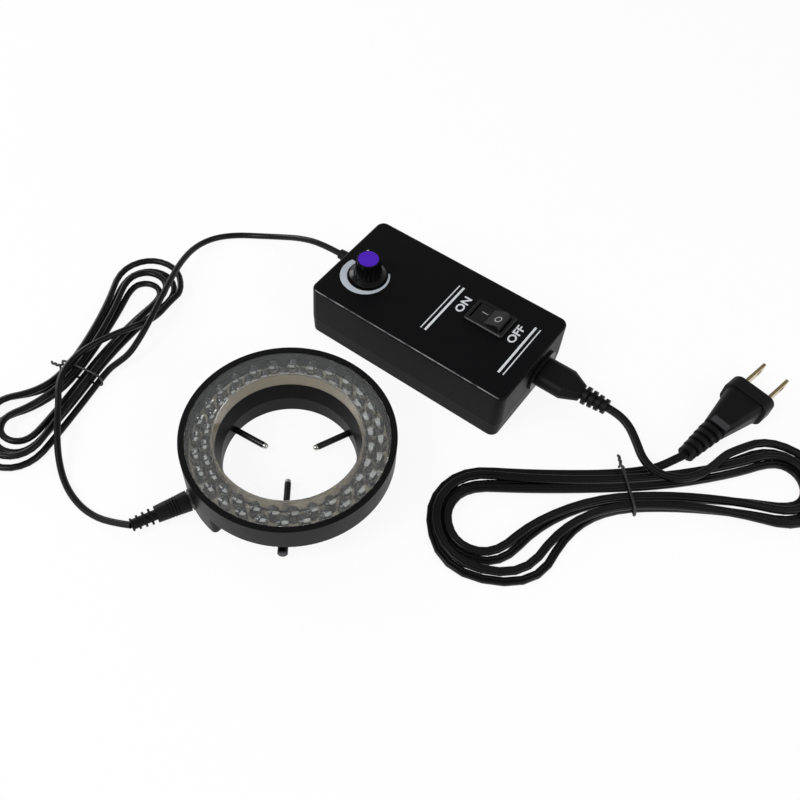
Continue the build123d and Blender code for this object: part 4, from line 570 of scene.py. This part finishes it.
def meshed(source):
    """A bmesh of a curve or text object, which is then removed."""
    bpy.context.view_layer.update()
    evaluated = source.evaluated_get(bpy.context.evaluated_depsgraph_get())
    mesh = bpy.data.meshes.new_from_object(evaluated)
    bpy.data.objects.remove(source)
    bm = bmesh.new()
    bm.from_mesh(mesh)
    bpy.data.meshes.remove(mesh)
    return bm


def polar(r, azimuth, z=0.0):
    """A point at a radius and an azimuth in degrees about the ring's axis."""
    return Vector((r * cos(radians(azimuth)), r * sin(radians(azimuth)), z))


# Camera

camera_f = 902.86
image_size = 800
optical_centre = (336.53, 424.38)
camera_pitch = 56.30
camera_at = (21.407 * mm, -216.01 * mm, 357.018 * mm)
camera = bpy.data.objects.new("camera", bpy.data.cameras.new("camera"))
scene.collection.objects.link(camera)
camera.data.sensor_width = 36.0
camera.data.lens = camera_f / image_size * camera.data.sensor_width
camera.data.shift_x = (image_size / 2 - optical_centre[0]) / image_size
camera.data.shift_y = (optical_centre[1] - image_size / 2) / image_size
camera.location = camera_at
camera.rotation_euler = (radians(90.0 - camera_pitch), 0.0, 0.0)
camera.data.clip_start = 0.01
camera.data.clip_end = 20.0
scene.camera = camera


# Cords


def arc_corners(p0, t0, p1, count):
    """The corners of the open polygon round the arc that leaves p0 along t0 and reaches p1."""
    chord = p1 - p0
    across = chord - t0 * chord.dot(t0)
    if across.length < 0.001 * mm:
        return [p0 + chord / 2]
    side = across.normalized()
    half = t0.angle(chord)
    r = chord.length / (2 * sin(half))
    reach = r / cos(half / count)
    turns = [(2 * i + 1) * half / count for i in range(count)]
    return [p0 + t0 * (reach * sin(a)) + side * (r - reach * cos(a)) for a in turns]


def square_to(v, way):
    """The part of a vector that is square to a direction."""
    return v - way * v.dot(way)


class Hank:
    """A cord folded into loops that are drawn in at a waist, on two layers.

    front and back give a tip's distance, its bend in degrees and the radius of its outer fold, and
    steps gives how much the length, the fold and the waist shrink from one loop to the next.

    A key point comes every quarter of a loop: the waist, the back tip, the waist on the other
    side and the front tip. The loops step inwards up to the quarter where they turn back, and
    outwards after it, on the other layer.
    """

    def __init__(self, place, azimuth, front, back, waist, steps, layers, turn_back, first_key):
        self.centre = Vector((*place, 0.0))
        self.azimuth = radians(azimuth)
        self.front, self.front_bend, self.front_fold = front
        self.back, self.back_bend, self.back_fold = back
        self.waist = waist
        self.length_step, self.fold_step, self.waist_step = steps
        self.z_first, self.z_second = layers
        self.turn_back = turn_back
        self.first_key = first_key

    def world(self, x, y, z):
        """A place of the hank's own frame in the world."""
        a = self.azimuth
        return self.centre + Vector((x * cos(a) - y * sin(a), x * sin(a) + y * cos(a), z))

    def heading(self, x, y):
        """A direction of the hank's own frame in the world."""
        return (self.world(x, y, 0.0) - self.centre).normalized()

    def inset(self, quarter):
        """How many loops inwards the cord lies at a quarter."""
        if quarter <= self.turn_back:
            return quarter / 4
        return (2 * self.turn_back - quarter) / 4

    def kind(self, quarter):
        """0 and 2 are the two sides of the waist, 1 is the back tip and 3 the front tip."""
        return (quarter + self.first_key) % 4

    def key(self, quarter):
        """The key point of a quarter and the cord's direction there."""
        z = self.z_first if quarter <= self.turn_back else self.z_second
        inset = self.inset(quarter)
        kind = self.kind(quarter)
        side = self.waist - inset * self.waist_step
        if kind == 0:
            return self.world(0.0, -side, z), self.heading(-1.0, 0.0)
        if kind == 2:
            return self.world(0.0, side, z), self.heading(1.0, 0.0)
        tip = (self.back if kind == 1 else self.front) - inset * self.length_step
        a = radians(180.0 - self.back_bend if kind == 1 else self.front_bend)
        return self.world(tip * cos(a), tip * sin(a), z), self.heading(sin(a), -cos(a))

    def fold(self, quarter):
        """The radius of the fold at a tip."""
        outer = self.back_fold if self.kind(quarter) == 1 else self.front_fold
        return outer - self.inset(quarter) * self.fold_step

    def joint(self, tip, tip_way, waist, waist_way, r):
        """Where the fold's arc meets the waist's, and the direction there, going to the waist."""
        flat_tip = Vector((tip.x, tip.y, 0.0))
        flat_waist = Vector((waist.x, waist.y, 0.0))
        centre = flat_tip + square_to(flat_waist - flat_tip, tip_way).normalized() * r
        reach = centre - flat_waist
        side = square_to(reach, waist_way)
        waist_r = (reach.dot(reach) - r * r) / (2 * (r - side.length))
        other = flat_waist - side.normalized() * waist_r
        turn_cos = (flat_tip - centre).dot(other - centre) / (r * (r + waist_r))
        first = r * sqrt((1 - turn_cos) / (1 + turn_cos))
        v = waist - tip
        last = (v.dot(v) / 2 - first * v.dot(tip_way)) / (
            v.dot(waist_way) + first * (1 - tip_way.dot(waist_way)))
        q0 = tip + tip_way * first
        q1 = waist - waist_way * last
        return (q0 * last + q1 * first) / (first + last), (q1 - q0).normalized()

    def middle(self, quarter):
        """The joint of the two arcs from one key point to the next, and the direction there."""
        p0, t0 = self.key(quarter)
        p1, t1 = self.key(quarter + 1)
        if self.kind(quarter) % 2 == 0:
            place, way = self.joint(p1, -t1, p0, -t0, self.fold(quarter + 1))
            return place, -way
        return self.joint(p0, t0, p1, t1, self.fold(quarter))

    def points(self, first, last, count):
        """The control points of the loops, count to each arc, from one quarter to another."""
        line = []
        quarter = floor(first)
        if first > quarter:
            q, t = self.middle(quarter)
            line += arc_corners(q, t, self.key(quarter + 1)[0], count)
            quarter += 1
        while quarter < last:
            p0, t0 = self.key(quarter)
            q, t = self.middle(quarter)
            line += arc_corners(p0, t0, q, count)
            if quarter + 1 <= last:
                line += arc_corners(q, t, self.key(quarter + 1)[0], count)
            quarter += 1
        line.append(self.end(last)[0])
        return line

    def end(self, quarter):
        """The point and direction at a whole or half quarter."""
        if quarter == floor(quarter):
            return self.key(quarter)
        return self.middle(floor(quarter))


def cord_curve(name, points, material, section=None, d=0.0):
    """A cord as one open NURBS curve, round or with a section of its own."""
    curve = bpy.data.curves.new(name, "CURVE")
    curve.dimensions = "3D"
    curve.resolution_u = 4
    curve.twist_mode = "Z_UP"
    curve.use_fill_caps = True
    spline = curve.splines.new("NURBS")
    spline.points.add(len(points) - 1)
    for place, p in zip(spline.points, points):
        place.co = (*p, 1.0)
    spline.order_u = 3
    spline.use_endpoint_u = True
    if section is None:
        curve.bevel_depth = d / 2
        curve.bevel_resolution = 3
    else:
        curve.bevel_mode = "OBJECT"
        curve.bevel_object = section
    curve.materials.append(material)
    made = bpy.data.objects.new(name, curve)
    scene.collection.objects.link(made)
    return made


def tie_tail(knot_y, side, start, turn):
    """One strand of a tie's twisted tail, from the knot outwards."""
    line = []
    for i in range(tie_twists):
        a = start + i * turn
        y = knot_y + side * i * tie_twist_step
        line.append((tie_wire_d / 2 * cos(a), y, tie_tail_z + tie_wire_d / 2 * sin(a)))
    return line


def tie_wire(name, hank, low, high, top, side, body, replaced):
    """A sleeved wire round a hank's waist, with its two ends twisted into a tail at one side."""
    near, far = (high, low) if side > 0 else (low, high)
    out = tie_wire_d / 2
    ring = [
        (near + side * out, tie_tail_z),
        (near + side * out, top * 0.75),
        (near - side * 2 * out, top + out),
        (0.0, top + out),
        (far + side * 2 * out, top + out),
        (far - side * out, top * 0.75),
        (far - side * out, tie_wire_d),
        (far + side * 2 * out, out),
        (0.0, out),
        (near - side * 2 * out, out),
        (near + side * out, tie_wire_d),
    ]
    knot_y = near + side * tie_wire_d
    line = tie_tail(knot_y + side * tie_twist_step, side, (tie_twists - 1) * tie_twist_turn, -tie_twist_turn)
    line.reverse()
    line += [((0.5 - i / (len(ring) - 1)) * tie_lead, y, z) for i, (y, z) in enumerate(ring)]
    line += tie_tail(knot_y, side, pi, tie_twist_turn)
    curve = cord_curve(name + "_line", [hank.world(*p) for p in line], tie_plastic, d=tie_wire_d)
    made = finished(name, mesh_of(meshed(curve), name), tie_plastic, body, sharp=80.0)
    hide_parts(replaced)


dc_hank = Hank(
    place=(-103.2 * mm, 49.6 * mm), azimuth=65.2,
    front=(81.3 * mm, 0.0, 18.5 * mm), back=(64.0 * mm, 12.0, 19.0 * mm), waist=9.5 * mm,
    steps=(9.0 * mm, 5.8 * mm, 4.2 * mm), layers=dc_layers, turn_back=8, first_key=0)
dc_points = [dc_gland_end, *dc_route_in, *dc_hank.points(0, 15.5, 2), *dc_route_out, dc_plug_end]
dc_cord = cord_curve("dc_cord", dc_points, cord_pvc, d=dc_cord_d)
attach(dc_cord, "controller")
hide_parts("dc_cord_to_hank", "dc_hank", "dc_cord_to_ring")

twin_section = bpy.data.curves.new("twin_section", "CURVE")
twin_section.dimensions = "2D"
twin_section.resolution_u = 3
twin_round = twin_section.splines.new("NURBS")
twin_round.points.add(len(twin_outline) - 1)
for place, (across, up) in zip(twin_round.points, twin_outline):
    place.co = (across * mm, up * mm, 0.0, 1.0)
twin_round.order_u = 3
twin_round.use_cyclic_u = True
twin_profile = bpy.data.objects.new("twin_profile", twin_section)
scene.collection.objects.link(twin_profile)
twin_profile.hide_render = True

mains_hank = Hank(
    place=(152.5 * mm, -16.0 * mm), azimuth=183.0,
    front=(91.6 * mm, 10.0, 26.0 * mm), back=(87.8 * mm, 0.0, 21.0 * mm), waist=9.2 * mm,
    steps=(5.0 * mm, 6.4 * mm, 4.6 * mm), layers=mains_layers, turn_back=7, first_key=1)
mains_points = [
    mains_relief_end, *mains_route_in, *mains_hank.points(-0.5, 15, 2), *mains_route_out, mains_plug_end]
mains_cord = cord_curve("mains_cord", mains_points, cord_pvc, section=twin_profile)
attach(mains_cord, "mains_lead")
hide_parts("mains_cord_to_hank", "mains_hank", "mains_cord_to_plug")

dc_reach = dc_hank.waist + dc_cord_d / 2
tie_wire("dc_tie", dc_hank, -dc_reach, dc_reach, dc_layers[1] + dc_cord_d / 2, 1, "controller", "dc_hank_tie")
mains_reach = mains_hank.waist + mains_cord_w / 2
tie_wire("mains_tie", mains_hank, -mains_reach - mains_hank.waist_step / 4, mains_reach,
         mains_layers[0] + mains_cord_h / 2, -1, "mains_lead", "mains_hank_tie")


# Clear cover and lamps

plate_low = ring_top - cover_recess - cover_t
plate_high = ring_top - cover_recess
plate_r = ring_r - rim_wall - cover_play
cover_plate = spun([
    (inner_rim_r + cover_edge / 2, plate_high),
    (inner_rim_r, plate_high - cover_edge / 2),
    (inner_rim_r, plate_low),
    (plate_r, plate_low),
    (plate_r, plate_high - cover_edge),
    (plate_r - cover_edge, plate_high),
], ring_steps)
plate = finished("cover_plate", mesh_of(cover_plate, "cover_plate"), cover_resin, "ring_light")
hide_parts("ring_cover")
cover_wall = spun([
    (inner_rim_r, inner_rim_z),
    (inner_rim_r + inner_rim_wall, inner_rim_z),
    (inner_rim_r + inner_rim_wall, plate_low - wall_gap),
    (inner_rim_r, plate_low - wall_gap),
], ring_steps)
# The inner wall carries a painted light: its cream colour stands in for the board seen through it.
finished("cover_wall", mesh_of(cover_wall, "cover_wall"), hazy_wall_painted_light, "ring_light")

lens = spun([
    (0.0, 0.0),
    (lamp_flange_r, 0.0),
    (lamp_flange_r, lamp_flange_h),
    (lamp_r, lamp_flange_h * 1.2),
    (lamp_r, lamp_h - lamp_r),
    (lamp_r * 0.94, lamp_h - 0.66 * lamp_r),
    (lamp_r * 0.77, lamp_h - 0.36 * lamp_r),
    (lamp_r * 0.5, lamp_h - 0.13 * lamp_r),
    (lamp_r * 0.2, lamp_h - 0.02 * lamp_r),
    (0.0, lamp_h),
], lamp_steps, closed=False)
lens_unit = mesh_of(lens, "lens_unit")
lead_size = (lead_t, lead_t, lead_h + lead_below)
lead_z = (lead_h - lead_below) / 2
lead_frame = joined([
    bar(lead_size, (lead_offset, 0.0, lead_z), lead_edge),
    bar(lead_size, (-lead_offset, 0.0, lead_z), lead_edge),
    bar(cup_size, cup_centre, cup_edge),
    bar(post_size, post_centre, post_edge),
])
lead_unit = mesh_of(lead_frame, "lead_unit")
lamp_places = []
for i in range(lamp_count):
    for r, lag in ((lamp_outer_r, 0.0), (lamp_inner_r, 0.5)):
        azimuth = lamp_outer_azimuth + (i + lag) * 360 / lamp_count
        turn = Matrix.Rotation(radians(azimuth + 90.0), 4, "Z")
        lamp_places.append(Matrix.Translation(polar(r, azimuth, board_top)) @ turn)
lenses = finished("lamp_lenses", repeated(lens_unit, lamp_places, "lamp_lenses"), lamp_resin, "ring_light")
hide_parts("leds")
finished("lamp_leads", repeated(lead_unit, lamp_places, "lamp_leads"), tinned, "ring_light")


# Prints

line_l = line_high - line_low
line_mid = (line_low + line_high) / 2
lines = joined([bar((w, line_l, print_t), (u, line_mid, ink_z), print_edge) for u, w in line_places])
finished("case_lines", mesh_of(lines, "case_lines", case_place), white_ink, "controller")

# The crescent is a ring's arc whose inner circle is moved towards the gap.
crescent = bmesh.new()
start = crescent_start - case_yaw
ends = [crescent.verts.new((r * cos(start), r * sin(start), 0.0)) for r in (crescent_inner_r, crescent_r)]
edge = crescent.edges.new(ends)
bmesh.ops.spin(crescent, geom=ends + [edge], cent=(0.0, 0.0, 0.0), axis=(0.0, 0.0, 1.0), angle=crescent_span,
               steps=crescent_steps)
inner_verts = [v for v in crescent.verts if v.co.length < (crescent_r + crescent_inner_r) / 2]
shift = Vector((crescent_shift, 0.0, 0.0)) @ Matrix.Rotation(case_yaw, 3, "Z")
bmesh.ops.translate(crescent, verts=inner_verts, vec=shift)
raised = bmesh.ops.extrude_face_region(crescent, geom=crescent.faces[:])["geom"]
raised_verts = [g for g in raised if isinstance(g, bmesh.types.BMVert)]
bmesh.ops.translate(crescent, verts=raised_verts, vec=(0.0, 0.0, print_t))
scale_mesh = mesh_of(crescent, "knob_scale", case_place @ Matrix.Translation(crescent_at))
finished("knob_scale", scale_mesh, scale_ink, "controller")


def lettering(name, words, centre):
    """Words printed on the case, read along its short side."""
    font = bpy.data.curves.new(name, "FONT")
    font.body = words
    font.size = word_size
    font.offset = word_size * word_bold_share
    font.extrude = print_t / 2
    font.resolution_u = 4
    source = bpy.data.objects.new(name + "_text", font)
    scene.collection.objects.link(source)
    bm = meshed(source)
    bmesh.ops.remove_doubles(bm, verts=bm.verts, dist=0.001 * mm)
    xs = [v.co.x for v in bm.verts]
    ys = [v.co.y for v in bm.verts]
    centring = Matrix.Translation((-(min(xs) + max(xs)) / 2, -(min(ys) + max(ys)) / 2, 0.0))
    stretched = Matrix.Diagonal((word_stretch, 1.0, 1.0, 1.0))
    turned = Matrix.Rotation(radians(90.0), 4, "Z")
    place = case_place @ Matrix.Translation((*centre, ink_z)) @ turned @ stretched @ centring
    finished(name, mesh_of(bm, name, place), white_ink, "controller")


lettering("word_on", "ON", on_word_at)
lettering("word_off", "OFF", off_word_at)


def on_rocker(u, v):
    """The place on the rocker's face over a point of the case, with Z square to the face."""
    above = case_place @ Vector((u, v, 2 * case_top_z))
    hit, spot, normal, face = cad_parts["rocker"].ray_cast(above, Vector((0.0, 0.0, -1.0)))
    along = square_to(case_place.to_3x3() @ Vector((1.0, 0.0, 0.0)), normal).normalized()
    turned = Matrix((along, normal.cross(along), normal)).transposed().to_4x4()
    return Matrix.Translation(spot) @ turned


on_mark = bar(on_mark_size, (0.0, 0.0, print_t / 2), print_edge)
on_mark_mesh = mesh_of(on_mark, "rocker_on_mark", on_rocker(*on_mark_at))
finished("rocker_on_mark", on_mark_mesh, mark_ink, "rocker")
off_mark = spun([
    (off_mark_inner_r, 0.0),
    (off_mark_r, 0.0),
    (off_mark_r, print_t),
    (off_mark_inner_r, print_t),
], off_mark_steps)
off_mark_mesh = mesh_of(off_mark, "rocker_off_mark", on_rocker(*off_mark_at))
finished("rocker_off_mark", off_mark_mesh, mark_ink, "rocker")


# Pad on the mains plug's grip

pad = bar(pad_size, pad_centre, pad_edge)
finished("plug_pad", mesh_of(pad, "plug_pad", plug_place), patch_pvc, "mains_lead")


# Floor, world and lamps


def background_share(tree, path):
    """1 for the camera, reflections and clear pieces, which see the plain white background, and else 0."""
    seen = add(tree, "ShaderNodeMath", {
        0: path["Is Camera Ray"], 1: path["Is Glossy Ray"]}, operation="MAXIMUM")
    seen = add(tree, "ShaderNodeMath", {
        0: seen.outputs[0], 1: path["Is Transmission Ray"]}, operation="MAXIMUM")
    return seen.outputs[0]


table_reach = 4.0
floor_material = bpy.data.materials.new("Studio table, white laminate")
floor_material.use_nodes = True
floor_tree = floor_material.node_tree
floor_tree.nodes.clear()
floor_shade = add(floor_tree, "ShaderNodeBsdfDiffuse", {"Color": linear("#f4f4f4")})
floor_glow = add(floor_tree, "ShaderNodeEmission", {"Color": linear("#ffffff"), "Strength": 1.0})
floor_path = add(floor_tree, "ShaderNodeLightPath").outputs
floor_share = add(floor_tree, "ShaderNodeMath", {
    0: background_share(floor_tree, floor_path), 1: 0.9}, operation="MULTIPLY")
floor_mix = add(floor_tree, "ShaderNodeMixShader", {
    0: floor_share.outputs[0], 1: floor_shade.outputs[0], 2: floor_glow.outputs[0]})
add(floor_tree, "ShaderNodeOutputMaterial", {"Surface": floor_mix.outputs[0]})
floor_bm = bmesh.new()
bmesh.ops.create_grid(floor_bm, x_segments=1, y_segments=1, size=table_reach)
floor_piece = bpy.data.objects.new("table", mesh_of(floor_bm, "table"))
floor_piece.data.materials.append(floor_material)
scene.collection.objects.link(floor_piece)

world = bpy.data.worlds.new("studio")
scene.world = world
world.use_nodes = True
world_tree = world.node_tree
world_tree.nodes.clear()
# The room is white at the horizon and dim overhead, as in a light tent with an open top.
world_way = add(world_tree, "ShaderNodeTexCoord").outputs["Generated"]
world_height = add(world_tree, "ShaderNodeSeparateXYZ", {"Vector": world_way}).outputs["Z"]
world_path = add(world_tree, "ShaderNodeLightPath").outputs
world_sky = add(world_tree, "ShaderNodeMapRange", {
    "Value": world_height, "From Min": 0.1, "From Max": 0.75, "To Min": 1.0, "To Max": 0.25})
world_white = add(world_tree, "ShaderNodeMath", {
    0: world_sky.outputs["Result"], 1: world_path["Is Transmission Ray"]}, operation="MAXIMUM")
world_share = background_share(world_tree, world_path)
world_level = add(world_tree, "ShaderNodeMix", {
    "Factor": world_share, "A": 0.5, "B": world_white.outputs[0]}, data_type="FLOAT")
world_glow = add(world_tree, "ShaderNodeBackground", {
    "Color": linear("#ffffff"), "Strength": world_level.outputs[0]})
add(world_tree, "ShaderNodeOutputWorld", {"Surface": world_glow.outputs[0]})


lamp_target = Vector((0.03, 0.05, 0.0))


def area_lamp(name, place, size, power):
    """A soft square lamp that points at the middle of the set."""
    lamp = bpy.data.lights.new(name, "AREA")
    lamp.shape = "SQUARE"
    lamp.size = size
    lamp.energy = power
    made = bpy.data.objects.new(name, lamp)
    made.location = place
    made.rotation_euler = (lamp_target - Vector(place)).to_track_quat("-Z", "Y").to_euler()
    scene.collection.objects.link(made)


area_lamp("key lamp", (-0.8, -0.4, 1.0), 0.5, 8.0)
area_lamp("fill lamp", (0.9, -0.6, 0.8), 0.6, 4.0)
area_lamp("back lamp", (-0.8, 0.9, 0.5), 0.5, 4.0)
